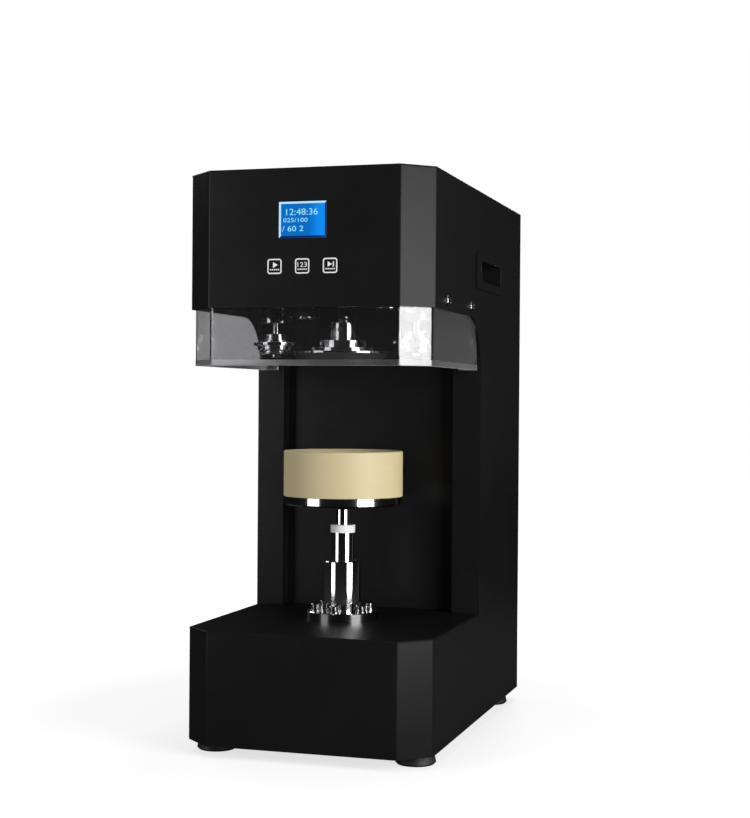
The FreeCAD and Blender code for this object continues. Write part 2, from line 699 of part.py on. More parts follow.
def head_front_cover():
    body = front_cover("head_front_cover", d.head_bottom, d.housing_top - d.wall)
    pad(body, "XY_Plane", d.head_bottom, d.hem_height,
        wrap_points(d.wall, d.hem, d.chamfer_depth + d.wrap))
    half = d.screen_width / 2
    window = box_points(-half, d.screen_low, half, d.screen_low + d.screen_height)
    key_half = d.key_size / 2 + d.key_gap
    holes = [square(i * d.key_pitch, d.key_height, key_half, d.key_corner + d.key_gap) for i in (-1, 0, 1)]
    cut_through(body, "XZ_Plane", 0, d.wall, window, *holes)


def base_deck():
    body = new_body("base_deck")
    step = d.column_front - d.seam
    inner = HALF - d.wall - d.seam
    back = d.recess_back
    pad(body, "XY_Plane", d.deck_top - d.wall, d.wall,
        [*front_corners(0), (HALF, step), (inner, step), (inner, back), (-inner, back), (-inner, step),
         (-HALF, step)],
        (0, d.axis_depth, d.guide_radius))
    round_upper_rim(body, d.deck_top, step)


def top_cover():
    body = new_body("top_cover")
    pad(body, "XY_Plane", d.housing_top - d.wall, d.wall,
        [*front_corners(0), (HALF, d.depth), (-HALF, d.depth)])
    round_upper_rim(body, d.housing_top, d.depth)


def cover_screw_spots(side):
    """Back cover screws of one side, across and up."""
    x = side * (HALF - d.wall - d.cover_screw_edge)
    rise = d.housing_top - d.cover_screw_drop - d.cover_screw_low
    return [(x, d.cover_screw_low + rise * (i / (COVER_SCREWS - 1))) for i in range(COVER_SCREWS)]


def side_panel(name, side):
    """A C-shaped side panel with its column strip, the hem behind the guard and the back flange."""
    body = new_body("%s_side_panel" % name)
    front = d.chamfer_depth + d.wrap + d.seam
    high = d.housing_top - d.wall
    sheet_low, thickness = between(side, HALF - d.wall, HALF)
    pad(body, "YZ_Plane", sheet_low, thickness,
        [(front, 0), (d.depth, 0), (d.depth, high), (front, high), (front, d.head_bottom),
         (d.column_front, d.head_bottom, d.throat_radius), (d.column_front, d.deck_top - d.wall),
         (front, d.deck_top - d.wall)])
    rooted = side * (HALF - d.wall / 2)
    pad(body, "XY_Plane", d.deck_top, d.plate_bottom - d.deck_top - d.seam,
        box_points(rooted, d.column_front, side * (HALF - d.wall - d.column_strip), d.column_front + d.wall))
    pad(body, "XY_Plane", d.head_bottom, d.hem_height,
        box_points(rooted, front, side * (HALF - d.wall - d.hem),
                   d.column_front - d.throat_radius - d.hem_end))
    flange = d.back_inner - d.wall
    pad(body, "XY_Plane", d.floor_plate + d.seam, high - d.floor_plate - 2 * d.seam,
        box_points(rooted, flange, side * (HALF - d.wall - d.back_flange), flange + d.wall))
    cut_through(body, "XZ_Plane", flange, d.wall, *[(x, z, d.screw_hole) for x, z in cover_screw_spots(side)])
    cut_through(body, "YZ_Plane", sheet_low, thickness, handle_opening(d.handle_skin + d.seam))
    hem_low, hem_reach = between(side, HALF - d.wall - d.hem, HALF)
    cut_through(body, "YZ_Plane", hem_low, hem_reach, *guard_screw_holes())


def guard_screw_holes():
    return [(depth, d.screw_height, d.screw_hole) for depth in (d.screw_front, d.screw_rear)]


def column_front_panel():
    """The recessed panel of the column: a hat profile behind the side panels' front strips."""
    body = new_body("column_front_panel")
    ends = HALF - d.wall - d.seam
    lip = d.column_front + d.wall + d.seam
    side = HALF - d.wall - d.column_strip
    face = d.column_front + d.recess_depth
    pad(body, "XY_Plane", d.deck_top + d.seam, d.plate_bottom - d.deck_top - 2 * d.seam,
        [(-ends, lip), (-side, lip), (-side, face), (side, face), (side, lip), (ends, lip),
         (ends, lip + d.wall), (side + d.wall, lip + d.wall), (side + d.wall, face + d.wall),
         (-side - d.wall, face + d.wall), (-side - d.wall, lip + d.wall), (-ends, lip + d.wall)])


def back_cover():
    body = new_body("back_cover")
    half = HALF - d.wall - d.seam
    pad(body, "XZ_Plane", d.back_inner, d.wall, box_points(-half, 0, half, d.housing_top - d.wall - d.seam))
    slots = []
    for row in range(SLOT_ROWS):
        high = d.housing_top - d.slot_drop - d.slot_pitch * row
        for side in (-1, 1):
            start = d.slot_gap / 2 * side
            slots.append(box_points(start, high - d.slot_height, start + d.slot_length * side, high))
    inlet = box_points(-d.inlet_width / 2, d.inlet_low, d.inlet_width / 2, d.inlet_low + d.inlet_height)
    screws = [(x, z, d.screw_hole) for side in (-1, 1) for x, z in cover_screw_spots(side)]
    cut_through(body, "XZ_Plane", d.back_inner, d.wall, *slots, inlet, *screws)


def handle_opening(grow):
    """The rounded opening of a handle pocket, grown by a margin. Its lower front corner is the roundest."""
    corner = d.handle_corner + grow
    front = d.handle_front + d.handle_end - grow
    back = d.handle_front + d.handle_length - d.handle_end + grow
    low = d.handle_high - d.handle_height + d.handle_border - grow
    high = d.handle_high - d.handle_border + grow
    return [(front, low, d.handle_scoop + grow), (back, low, corner), (back, high, corner),
            (front, high, corner)]


def side_handles():
    """Moulded handle pockets: a flange outside each panel and a rounded pocket behind it."""
    members = []
    back = d.handle_front + d.handle_length
    flange = [(*point, d.handle_corner) for point in box_points(
        d.handle_front, d.handle_high - d.handle_height, back, d.handle_high)]
    for side in (-1, 1):
        body = member("handle", (0, 0, 0))
        low, length = between(side, HALF - d.handle_depth, HALF)
        pad(body, "YZ_Plane", low, length, handle_opening(d.handle_skin))
        low, length = between(side, HALF, HALF + d.handle_flange)
        pad(body, "YZ_Plane", low, length, flange)
        low, length = between(side, HALF - d.handle_depth + d.handle_skin, HALF + d.handle_flange + THROUGH)
        pocket(body, "YZ_Plane", low, length, handle_opening(0))
        members.append(body)
    group("side_handles", members)


def guard():
    """Clear guard: one bent acrylic sheet round the seaming head, with short rear returns."""
    body = new_body("acrylic_guard")
    end = d.column_front - d.guard_gap
    lip = end - d.guard_thickness
    outer_x = HALF - d.guard_inset
    inner_x = outer_x - d.guard_thickness
    turn_x = outer_x - d.guard_return
    pad(body, "XY_Plane", d.guard_bottom, d.plate_bottom - d.seam - d.guard_bottom,
        [(-turn_x, end), (-outer_x, end), *front_corners(d.guard_inset), (outer_x, end), (turn_x, end),
         (turn_x, lip), (inner_x, lip), *reversed(front_corners(d.guard_inset + d.guard_thickness)),
         (-inner_x, lip), (-turn_x, lip)])
    round_bends(body, d.guard_inset, d.guard_thickness)
    for side in (-1, 1):
        low, thickness = between(side, inner_x, outer_x)
        cut_through(body, "YZ_Plane", low, thickness, *guard_screw_holes())


def dome_screw(name, spot, direction, reach):
    """A dome-headed screw: its shank reaches inwards from the face at its spot."""
    body = member(name, spot)
    body.Placement.Rotation = FreeCAD.Rotation(UP, FreeCAD.Vector(*direction))
    turned(body, [(0, -reach), (d.shank_radius, -reach), (d.shank_radius, 0), (d.dome_radius, 0),
                  (d.dome_radius, d.dome_height / 3), (d.dome_radius / 2, d.dome_height), (0, d.dome_height)])
    return body


def housing_screws():
    members = []
    guard_reach = d.guard_inset + 2 * d.guard_thickness
    for side in (-1, 1):
        for depth in (d.screw_front, d.screw_rear):
            spot = (side * HALF, depth, d.screw_height)
            members.append(dome_screw("guard_screw", spot, (side, 0, 0), guard_reach))
        for x, z in cover_screw_spots(side):
            members.append(dome_screw("cover_screw", (x, d.back_face, z), (0, 1, 0), 3 * d.wall))
    group("housing_screws", members)


# Feet and frame

def rubber_feet():
    members = []
    step = d.foot_chamfer
    for side in (-1, 1):
        for depth in (d.foot_inset, d.depth - d.foot_inset):
            body = member("foot", (side * (HALF - d.foot_edge), depth, 0))
            turned(body, [(0, -d.foot_height / 2), (d.foot_recess, -d.foot_height / 2),
                          (d.foot_recess, -d.foot_height), (d.foot_radius - step, -d.foot_height),
                          (d.foot_radius, step - d.foot_height), (d.foot_radius - step, 0), (0, 0)])
            members.append(body)
    group("rubber_feet", members)


def bottom_plate():
    body = new_body("bottom_plate")
    inset = d.wall + d.seam
    back = d.back_inner - d.seam
    pad(body, "XY_Plane", 0, d.floor_plate,
        [*front_corners(inset), (HALF - inset, back), (-HALF + inset, back)])


def frame_plates():
    """Two upright plates that carry the mechanism plate, with cable holes, and the brace between them."""
    members = []
    outer = HALF - d.frame_edge
    inner = outer - d.frame_thickness
    middle = (d.frame_front + d.frame_back) / 2
    holes = 4
    rise = (d.plate_bottom - d.floor_plate) / (holes + 1)
    for side in (-1, 1):
        body = member("frame_plate", (0, 0, 0))
        low, thickness = between(side, inner, outer)
        pad(body, "YZ_Plane", low, thickness,
            box_points(d.frame_front, d.floor_plate, d.frame_back, d.plate_bottom))
        cut_through(body, "YZ_Plane", low, thickness,
                    *[(middle, d.floor_plate + rise * (i + 1), d.frame_hole) for i in range(holes)])
        members.append(body)
    group("frame_plates", members)
    brace = new_body("frame_cross_brace")
    pad(brace, "XY_Plane", d.deck_top + d.brace_rise, d.brace_height,
        box_points(-inner, d.frame_back - d.frame_thickness, inner, d.frame_back))


def mechanism_plate():
    body = new_body("mechanism_plate")
    wide = HALF - d.plate_edge
    narrow = HALF - d.handle_depth - d.plate_clearance
    step = d.handle_front - d.plate_clearance
    cut = d.plate_corner
    bush_hole = d.arm_shaft_radius + d.bush_wall + d.running_gap
    pad(body, "XY_Plane", d.plate_bottom, d.plate_thickness,
        [(cut - wide, d.plate_front), (wide - cut, d.plate_front), (wide, d.plate_front + cut),
         (wide, step), (narrow, step), (narrow, d.frame_back), (-narrow, d.frame_back),
         (-narrow, step), (-wide, step), (-wide, d.plate_front + cut)],
        (0, d.axis_depth, d.housing_radius + d.running_gap),
        (0, d.motor_depth, 2 * d.motor_shaft),
        *[(sign * d.pivot_x, d.axis_depth + sign * d.pivot_y, bush_hole) for sign in (1, -1)])


# Seaming head

def spindle_housing():
    """Flanged tube that carries the spindle's bearings through the mechanism plate."""
    body = new_body("spindle_housing", AXIS)
    low = d.plate_bottom - d.housing_flange_height
    floor = low + d.housing_floor
    top = d.plate_top + d.housing_rise
    race = d.bearing_radius + d.fit_gap
    hole = d.spindle_radius + d.race_inner
    turned(body, [(hole, low), (d.housing_flange, low), (d.housing_flange, d.plate_bottom),
                  (d.housing_radius, d.plate_bottom), (d.housing_radius, top), (race, top),
                  (race, floor), (hole, floor)])


def spindle_bearings():
    """Two deep-groove bearings, with their shields a little below the races."""
    inner = d.spindle_radius + d.running_gap
    shield_in = inner + d.race_inner
    outer = d.bearing_radius
    shield_out = outer - d.race_outer
    floor = d.plate_bottom - d.housing_flange_height + d.housing_floor
    members = []
    for number in range(2):
        body = member("bearing", (0, 0, 0))
        low = floor + d.bearing_width * number
        top = low + d.bearing_width
        shield = top - d.shield_depth
        turned(body, [(inner, low), (outer, low), (outer, top), (shield_out, top), (shield_out, shield),
                      (shield_in, shield), (shield_in, top), (inner, top)])
        members.append(body)
    group("spindle_bearings", members, AXIS)


def chuck():
    """Seaming chuck: the tapered lip that fills the lid's countersink, flange, two steps and hub."""
    body = new_body("seaming_chuck", AXIS)
    low = d.chuck_bottom
    bore = d.spindle_radius + d.fit_gap
    radius, taper = d.chuck_radius, d.chuck_taper
    shoulder = low + d.chuck_shoulder
    lip_out = radius - 2 * taper
    lip_in = lip_out - d.chuck_lip_width
    hub = low + d.chuck_hub
    turned(body, [(bore, low + d.chuck_lip), (lip_in - taper, low + d.chuck_lip), (lip_in, low),
                  (lip_out, low), (radius - taper, shoulder), (radius, shoulder),
                  (radius, low + d.chuck_flange), (d.chuck_step_radius, low + d.chuck_flange),
                  (d.chuck_step_radius, low + d.chuck_step), (d.chuck_collar_radius, low + d.chuck_step),
                  (d.chuck_collar_radius, low + d.chuck_collar), (d.chuck_hub_radius, low + d.chuck_collar),
                  (d.chuck_hub_radius, hub - d.hub_chamfer), (d.chuck_hub_radius - d.hub_chamfer, hub),
                  (bore, hub)])
    pocket(body, "XZ_Plane", -d.chuck_hub_radius - THROUGH, d.chuck_hub_radius - d.spindle_radius + THROUGH,
           (0, low + d.set_screw_height, d.set_screw))


def chuck_spindle():
    body = new_body("chuck_spindle", AXIS)
    low = d.chuck_bottom + d.chuck_lip + 1
    turned(body, [(0, low), (d.spindle_radius, low), (d.spindle_radius, d.plate_bottom + d.spindle_rise),
                  (0, d.plate_bottom + d.spindle_rise)])


def grooved_rim(radius):
    """The rim of a pulley for a ribbed belt, from its lower flange to its upper one."""
    seat = radius - 0.2
    flange = radius + d.pulley_flange
    pitch = d.belt_width / PULLEY_GROOVES
    high = d.belt_low + d.belt_width
    points = [(flange, d.belt_low - 1), (flange, d.belt_low), (seat, d.belt_low)]
    for i in range(PULLEY_GROOVES):
        start = d.belt_low + pitch * i
        points.append((seat - d.groove_depth, start + pitch / 2))
        points.append((seat, start + pitch))
    return [*points, (flange, high), (flange, high + 1)]


def pulleys():
    low = d.belt_low - 1
    high = d.belt_low + d.belt_width + 1
    bore = d.spindle_radius + d.fit_gap
    hub = bore + d.pulley_hub
    hub_top = high + 3
    large = new_body("spindle_pulley", AXIS)
    turned(large, [(bore, low), *grooved_rim(d.pulley_radius), (hub, high), (hub, hub_top), (bore, hub_top)])
    small = new_body("motor_pulley", MOTOR)
    shaft = d.motor_shaft
    shaft_low = d.plate_bottom - d.motor_shaft_depth
    turned(small, [(0, shaft_low), (shaft, shaft_low), (shaft, low), *grooved_rim(d.motor_pulley_radius),
                   (shaft, high), (shaft, hub_top), (0, hub_top)])


def drive_belt():
    """Closed belt round both pulleys: two arcs and their common tangents."""
    big = d.pulley_radius.value + d.belt_gap.value
    small = d.motor_pulley_radius.value + d.belt_gap.value
    span = d.motor_depth.value - d.axis_depth.value
    tilt = math.asin((big - small) / span)
    edge_gap = 0.2
    low = d.belt_low.value + edge_gap

    def rim_point(y, radius, side):
        return FreeCAD.Vector(side * radius * math.cos(tilt), y + radius * math.sin(tilt), low)

    def loop(grow):
        big_ends = [rim_point(0, big + grow, side) for side in (-1, 1)]
        small_ends = [rim_point(span, small + grow, side) for side in (-1, 1)]
        far = FreeCAD.Vector(0, span + small + grow, low)
        near_end = FreeCAD.Vector(0, -big - grow, low)
        return Part.Wire([
            Part.makeLine(big_ends[0], small_ends[0]),
            Part.Arc(small_ends[0], far, small_ends[1]).toShape(),
            Part.makeLine(small_ends[1], big_ends[1]),
            Part.Arc(big_ends[1], near_end, big_ends[0]).toShape()])

    face = Part.Face(loop(d.belt_thickness.value)).cut(Part.Face(loop(0)))
    solid_of("drive_belt", face.extrude(UP * (d.belt_width.value - 2 * edge_gap)), AXIS)


def main_motor():
    """Main motor: end bell, ribbed middle and the flange under the mechanism plate."""
    body = new_body("main_motor", MOTOR)
    low = d.motor_low
    top = d.plate_bottom
    radius = d.motor_radius
    bell, collar = d.motor_bell, d.motor_collar
    waist = radius - d.motor_waist
    bore = d.motor_shaft + d.running_gap
    bore_low = top - d.motor_shaft_depth - d.axial_gap
    turned(body, [(0, low), (radius - bell, low), (radius, low + bell), (radius, low + collar),
                  (waist, low + collar), (waist, top - collar), (radius, top - collar), (radius, top),
                  (bore, top), (bore, bore_low), (0, bore_low)])


# Roller arms. The second arm is the first one turned half round the spindle.

def arm_set(name, turn):
    pivot = (d.pivot_x, d.pivot_y)
    roller = (d.roller_x, d.roller_y)
    follower = (d.pivot_x, d.pivot_y - d.lever_length)
    arm(name, turn, pivot, roller)
    arm_shaft(name, turn, pivot)
    follower_lever(name, turn, pivot, follower)
    seaming_roller(name, turn, roller)
    roller_bolt(name, turn, roller)
    arm_cam(name, turn, follower)


def turned_base(point, turn):
    """The place of a point given about the spindle axis, after the arm's half turn."""
    sign = 1 if turn == 0 else -1
    return (sign * point[0], AXIS[1] + sign * point[1], AXIS[2])


def link_points(start, end, start_half, end_half):
    """A tapered bar between two bosses, from its half widths at each."""
    dx, dy = end[0] - start[0], end[1] - start[1]
    run = Dim("sqrt(%s * %s + %s * %s)" % (dx.text, dx.text, dy.text, dy.text),
              math.hypot(dx.value, dy.value))
    ux, uy = dx / run, dy / run
    return [(start[0] - uy * start_half, start[1] + ux * start_half),
            (start[0] + uy * start_half, start[1] - ux * start_half),
            (end[0] + uy * end_half, end[1] - ux * end_half),
            (end[0] - uy * end_half, end[1] + ux * end_half)]


def arm(name, turn, pivot, roller):
    """Roller arm: pivot eye, tapered bar and the round boss that carries the roller bolt."""
    body = new_body("%s_roller_arm" % name, AXIS, turn)
    low, thickness = d.arm_bottom, d.arm_thickness
    pad(body, "XY_Plane", low, thickness, (*pivot, d.arm_eye))
    pad(body, "XY_Plane", low, thickness, link_points(pivot, roller, d.arm_root, d.arm_tip))
    pad(body, "XY_Plane", low, thickness, (*roller, d.boss_radius - 1))
    pad(body, "XY_Plane", d.boss_bottom, d.boss_drop, (*roller, d.boss_radius))
    cut_through(body, "XY_Plane", low, thickness, (*pivot, d.arm_shaft_radius + d.fit_gap))
    pocket(body, "XY_Plane", d.boss_bottom - THROUGH, d.bolt_grip + THROUGH + 1,
           (*roller, d.roller_bore + d.fit_gap))
    soften(body, "Chamfer", d.boss_chamfer, lambda edge, middle: isinstance(edge.Curve, Part.Circle)
           and near(edge.Curve.Radius, d.boss_radius) and near(middle.z, d.boss_bottom))


def arm_shaft(name, turn, pivot):
    """Headed pivot shaft, from under the arm up through the lever."""
    body = new_body("%s_arm_shaft" % name, turned_base(pivot, turn), turn)
    radius = d.arm_shaft_radius
    head = radius + d.arm_shaft_head
    low = d.arm_bottom - d.arm_shaft_head
    top = d.lever_low + d.lever_thickness + 2
    turned(body, [(0, low), (head, low), (head, d.arm_bottom), (radius, d.arm_bottom), (radius, top),
                  (0, top)])


def follower_lever(name, turn, pivot, follower):
    """Lever on the arm's shaft, with the cam follower under its end."""
    body = new_body("%s_follower_lever" % name, AXIS, turn)
    low = d.lever_low
    upper = low + d.lever_thickness - d.lever_plate
    half = d.follower_radius
    pad(body, "XY_Plane", low, d.lever_thickness, (*pivot, d.lever_eye))
    pad(body, "XY_Plane", upper, d.lever_plate,
        box_points(d.pivot_x - half, follower[1], d.pivot_x + half, d.pivot_y))
    pad(body, "XY_Plane", low, d.lever_thickness, (*follower, d.follower_radius))
    cut_through(body, "XY_Plane", low, d.lever_thickness, (*pivot, d.arm_shaft_radius + d.fit_gap))


def seaming_roller(name, turn, roller):
    """Seaming roller: lower ring, the groove that folds the seam, upper ring, wide rim, body and neck."""
    body = new_body("%s_seaming_roller" % name, turned_base(roller, turn), turn)
    low = d.chuck_bottom + d.roller_rise
    bore = d.roller_bore + d.running_gap
    top = d.roller_height
    profile = [(bore, 0), (d.roller_foot, 0), (d.roller_ring, d.ring_low), (d.roller_ring, d.ring_high),
               (d.roller_groove, d.groove_low), (d.roller_groove, d.groove_high),
               (d.roller_shoulder, d.shoulder_low), (d.roller_shoulder, d.rim_low), (d.roller_rim, d.rim_low),
               (d.roller_rim, d.rim_high), (d.roller_body, d.rim_high), (d.roller_body, d.body_high),
               (d.roller_neck, d.body_high), (d.roller_neck, top - d.roller_chamfer),
               (d.roller_neck - d.roller_chamfer, top), (bore, top)]
    turned(body, [(radius, low + height) for radius, height in profile])


def roller_bolt(name, turn, roller):
    """The bolt that the roller turns on: collar under it and shank up into the boss."""
    body = new_body("%s_roller_bolt" % name, turned_base(roller, turn), turn)
    low = d.chuck_bottom + d.bolt_head_rise
    under = d.chuck_bottom + d.roller_rise - d.bolt_gap
    top = d.boss_bottom + d.bolt_grip
    turned(body, [(0, low), (d.bolt_head - 1, low), (d.bolt_head, low + 1), (d.bolt_head, under),
                  (d.roller_bore, under), (d.roller_bore, top), (0, top)])


def cam_outline(follower_at, turn_total, inward, steps, spot):
    """Cam profile about its own centre, from the path of its follower: follower_at(share) gives its place
    for a share of the cam's turn, and inward is the follower's radius with its clearance. The flank that
    no follower rides on is blended back to the start. spot(u, v) puts a point of the profile in space."""
    pitch = []
    for i in range(steps + 1):
        share = i / steps
        back = -math.radians(turn_total) * share
        pitch.append(FreeCAD.Rotation(UP, math.degrees(back)).multVec(follower_at(share)))
    curve = Part.BSplineCurve()
    curve.interpolate(pitch)
    profile = []
    for i in range(steps + 1):
        at = curve.FirstParameter + (curve.LastParameter - curve.FirstParameter) * i / steps
        point = curve.value(at)
        tangent = curve.tangent(at)[0]
        normal = FreeCAD.Vector(-tangent.y, tangent.x, 0).normalize()
        if normal.dot(point) > 0:
            normal = normal * -1
        profile.append(point + normal * inward)
    end = profile[-1]
    rest_radius = pitch[0].Length - inward
    end_angle = math.atan2(end.y, end.x)
    sweep = (end_angle - math.atan2(pitch[0].y, pitch[0].x)) % (2 * math.pi)
    blend_steps = steps // 2
    blend = []
    for i in range(1, blend_steps + 1):
        fall = min(1, i / (0.75 * blend_steps))
        ease = fall * fall * (3 - 2 * fall)
        radius = end.Length + (rest_radius - end.Length) * ease
        angle = end_angle - sweep * i / blend_steps
        blend.append(FreeCAD.Vector(radius * math.cos(angle), radius * math.sin(angle), 0))
    closed = Part.BSplineCurve()
    closed.interpolate([spot(point.x, point.y) for point in profile + blend], PeriodicFlag=True)
    return Part.Face(Part.Wire(closed.toShape()))


def arm_cam(name, turn, follower):
    """Plate cam that swings one arm closed over its turn."""
    lever = d.lever_length.value
    low = d.lever_low.value
    thickness = (d.lever_thickness - d.lever_plate - 2 * d.axial_gap).value

    def follower_at(share):
        swing = math.radians(d.arm_swing.value * share)
        along = d.cam_offset.value + lever * math.sin(swing)
        return FreeCAD.Vector(along, lever - lever * math.cos(swing), 0)

    face = cam_outline(follower_at, d.cam_turn.value, (d.follower_radius + d.cam_gap).value, 24,
                       lambda u, v: FreeCAD.Vector(u, v, low))
    bore = Part.makeCylinder((d.cam_shaft + d.running_gap).value, thickness, FreeCAD.Vector(0, 0, low))
    base = turned_base((follower[0] - d.cam_offset, follower[1]), turn)
    solid_of("%s_arm_cam" % name, face.extrude(UP * thickness).cut(bore), base, turn)


def cam_motor(base, turn, low):
    """Gear motor of an arm cam: body with cut corners, pilot and shaft."""
    body = member("cam_motor", base, turn)
    half, cut = d.cam_motor_half, d.cam_motor_half - d.cam_motor_corner
    pad(body, "XY_Plane", low + d.bracket_thickness, d.cam_motor_height,
        [(-half, -cut), (-cut, -half), (cut, -half), (half, -cut), (half, cut), (cut, half), (-cut, half),
         (-half, cut)])
    pad(body, "XY_Plane", low, d.bracket_thickness, (0, 0, d.cam_motor_pilot))
    pad(body, "XY_Plane", d.lever_low, low - d.lever_low, (0, 0, d.cam_shaft))
    return body


def cam_bracket(base, turn, low):
    """Plate on three posts that carries a cam motor over the follower lever."""
    body = member("cam_bracket", base, turn)
    half = d.bracket_half
    ear = half + d.bracket_ear
    spot = d.post_spot
    pad(body, "XY_Plane", low, d.bracket_thickness,
        [(-half, -half), (half, -half), (half, spot), (0, spot), (0, ear), (-spot, ear), (-half, spot)],
        (0, 0, d.cam_motor_pilot + d.running_gap))
    pad(body, "XY_Plane", d.plate_top, low - d.plate_top,
        (-spot, -spot, d.post_radius), (spot, -spot, d.post_radius), (-spot / 2, half, d.post_radius))
    return body


def arm_bush(base):
    """Flanged bronze bush of an arm's pivot shaft, in the mechanism plate."""
    body = member("arm_bush", base)
    inner = d.arm_shaft_radius + d.running_gap
    outer = d.arm_shaft_radius + d.bush_wall
    flange = outer + d.bush_lip
    low = d.plate_bottom - d.bush_flange
    top = d.plate_top + d.bush_top
    turned(body, [(inner, low), (flange, low), (flange, d.plate_bottom), (outer, d.plate_bottom),
                  (outer, top),
                  (inner, top)])
    return body


def cam_drives():
    """Gear motors of the two arm cams, the brackets that carry them, and the bushes of the arms' shafts."""
    motors, brackets, bushes = [], [], []
    low = d.lever_low + d.lever_thickness + d.bracket_gap
    for sign, turn in ((1, 0), (-1, 180)):
        cam = (sign * (d.pivot_x - d.cam_offset), d.axis_depth + sign * (d.pivot_y - d.lever_length), 0)
        motors.append(cam_motor(cam, turn, low))
        brackets.append(cam_bracket(cam, turn, low))
        bushes.append(arm_bush((sign * d.pivot_x, d.axis_depth + sign * d.pivot_y, 0)))
    group("cam_motors", motors)
    group("cam_motor_brackets", brackets)
    group("arm_bushes", bushes)


# Can lift

def ram_guide():
    """Guide tube with its screwed flange on the deck."""
    body = new_body("ram_guide", AXIS)
    low = d.deck_top
    seat = low + d.guide_flange_height
    bore = d.ram_radius + d.bush_thickness
    cut = d.guide_chamfer
    radius, top = d.guide_radius, d.guide_top
    turned(body, [(bore, low), (d.guide_flange, low), (d.guide_flange, seat - cut),
                  (d.guide_flange - cut, seat), (radius, seat), (radius, top - cut), (radius - cut, top),
                  (bore, d.guide_top)])


def guide_bush():
    body = new_body("guide_bush", AXIS)
    tube(body, d.ram_radius + d.running_gap, d.ram_radius + d.bush_thickness - d.fit_gap,
         d.deck_top + d.bush_rise, d.guide_top - d.bush_recess)


def guide_screws():
    """Cap screws with washers on the guide's flange."""
    members = []
    seat = d.deck_top + d.guide_flange_height
    for number in range(GUIDE_SCREWS):
        angle = math.radians(360 / GUIDE_SCREWS * (number + 0.5))
        body = member("guide_screw", (d.guide_bolt_circle * math.cos(angle),
                                      d.guide_bolt_circle * math.sin(angle), seat))
        turned(body, [(0, 0), (d.washer_radius, 0), (d.washer_radius, d.washer_height),
                      (d.guide_screw_head, d.washer_height), (d.guide_screw_head, d.guide_screw_height),
                      (0, d.guide_screw_height)])
        members.append(body)
    group("guide_screws", members, AXIS)


def lift_bridge():
    """Inverted U under the deck that carries the guide, open along X for the lift cam."""
    body = new_body("lift_bridge")
    low, high = d.floor_plate, d.deck_top - d.wall
    front, back = d.axis_depth - d.bridge_front, d.axis_depth + d.bridge_front
    leg, table = d.bridge_leg, high - d.bridge_table
    pad(body, "YZ_Plane", -d.bridge_half, 2 * d.bridge_half,
        [(front, low), (front + leg, low), (front + leg, table), (back - leg, table),
         (back - leg, low), (back, low), (back, high), (front, high)])
    cut_through(body, "XY_Plane", table, d.bridge_table, (0, d.axis_depth, d.ram_radius + d.bush_thickness))


def lift_ram():
    """Lift ram: round bar, slotted over the cam at its foot and bored for the height rod."""
    body = new_body("lift_ram", AXIS)
    foot = d.follower_height - d.ram_follower_radius
    bore = d.rod_radius + d.running_gap
    slot_top = d.follower_height + d.ram_follower_radius + d.slot_clearance
    bore_low = slot_top + 6
    turned(body, [(0, foot), (d.ram_radius, foot), (d.ram_radius, d.ram_top), (bore, d.ram_top),
                  (bore, bore_low), (0, bore_low)])
    half, reach = d.ram_slot / 2, d.ram_radius + THROUGH
    pocket(body, "XY_Plane", foot - THROUGH, slot_top - foot + THROUGH,
           box_points(-half, -reach, half, reach))
    cut_through(body, "YZ_Plane", -d.ram_radius, 2 * d.ram_radius,
                (0, d.follower_height, d.follower_pin + d.fit_gap))


def ram_follower():
    """Follower roller on its pin in the ram's slot."""
    body = new_body("ram_follower", AXIS)
    pin = d.ram_radius - 1
    half = d.ram_slot / 2 - d.axial_gap
    pad(body, "YZ_Plane", -pin, 2 * pin, (0, d.follower_height, d.follower_pin))
    pad(body, "YZ_Plane", -half, 2 * half, (0, d.follower_height, d.ram_follower_radius))


def lift_cam():
    """Plate cam of constant rise under the ram, turning about X."""
    pitch, rise = d.lift_cam_pitch.value, d.lift_travel.value
    thickness, height = d.lift_cam_thickness.value, d.lift_cam_height.value
    start = -thickness / 2
    across = FreeCAD.Vector(thickness, 0, 0)
    face = cam_outline(lambda share: FreeCAD.Vector(0, pitch + rise * share, 0), d.lift_turn.value,
                       (d.ram_follower_radius + d.lift_cam_gap).value, 32,
                       lambda u, v: FreeCAD.Vector(start, u, height + v))
    shaft = (d.lift_shaft + d.fit_gap).value
    bore = Part.makeCylinder(shaft, thickness, FreeCAD.Vector(start, 0, height), across)
    solid_of("lift_cam", face.extrude(across).cut(bore), AXIS)


def lift_gearmotor():
    """Gear box on the bottom plate with its motor outwards and the cam's shaft inwards."""
    body = new_body("lift_gearmotor")
    y, z = d.axis_depth, d.lift_cam_height
    half = d.gearbox_half
    pad(body, "YZ_Plane", d.gearbox_start, d.gearbox_length,
        box_points(y - half, d.floor_plate, y + half, z + half))
    pad(body, "YZ_Plane", d.gearbox_start + d.gearbox_length, d.gearmotor_length, (y, z, d.gearmotor_radius))
    shaft_end = d.lift_cam_thickness
    pad(body, "YZ_Plane", -shaft_end, shaft_end + d.gearbox_start, (y, z, d.lift_shaft))


def lock_ring():
    """Nylon ring that locks the height rod in the ram."""
    body = new_body("lock_ring", AXIS)
    low, high = d.ram_top, d.ram_top + d.ring_height
    bore = d.rod_radius + d.running_gap
    cut = d.ring_chamfer
    turned(body, [(bore, low), (d.ring_radius - cut, low), (d.ring_radius, low + cut),
                  (d.ring_radius, high - cut), (d.ring_radius - cut, high), (bore, high)])


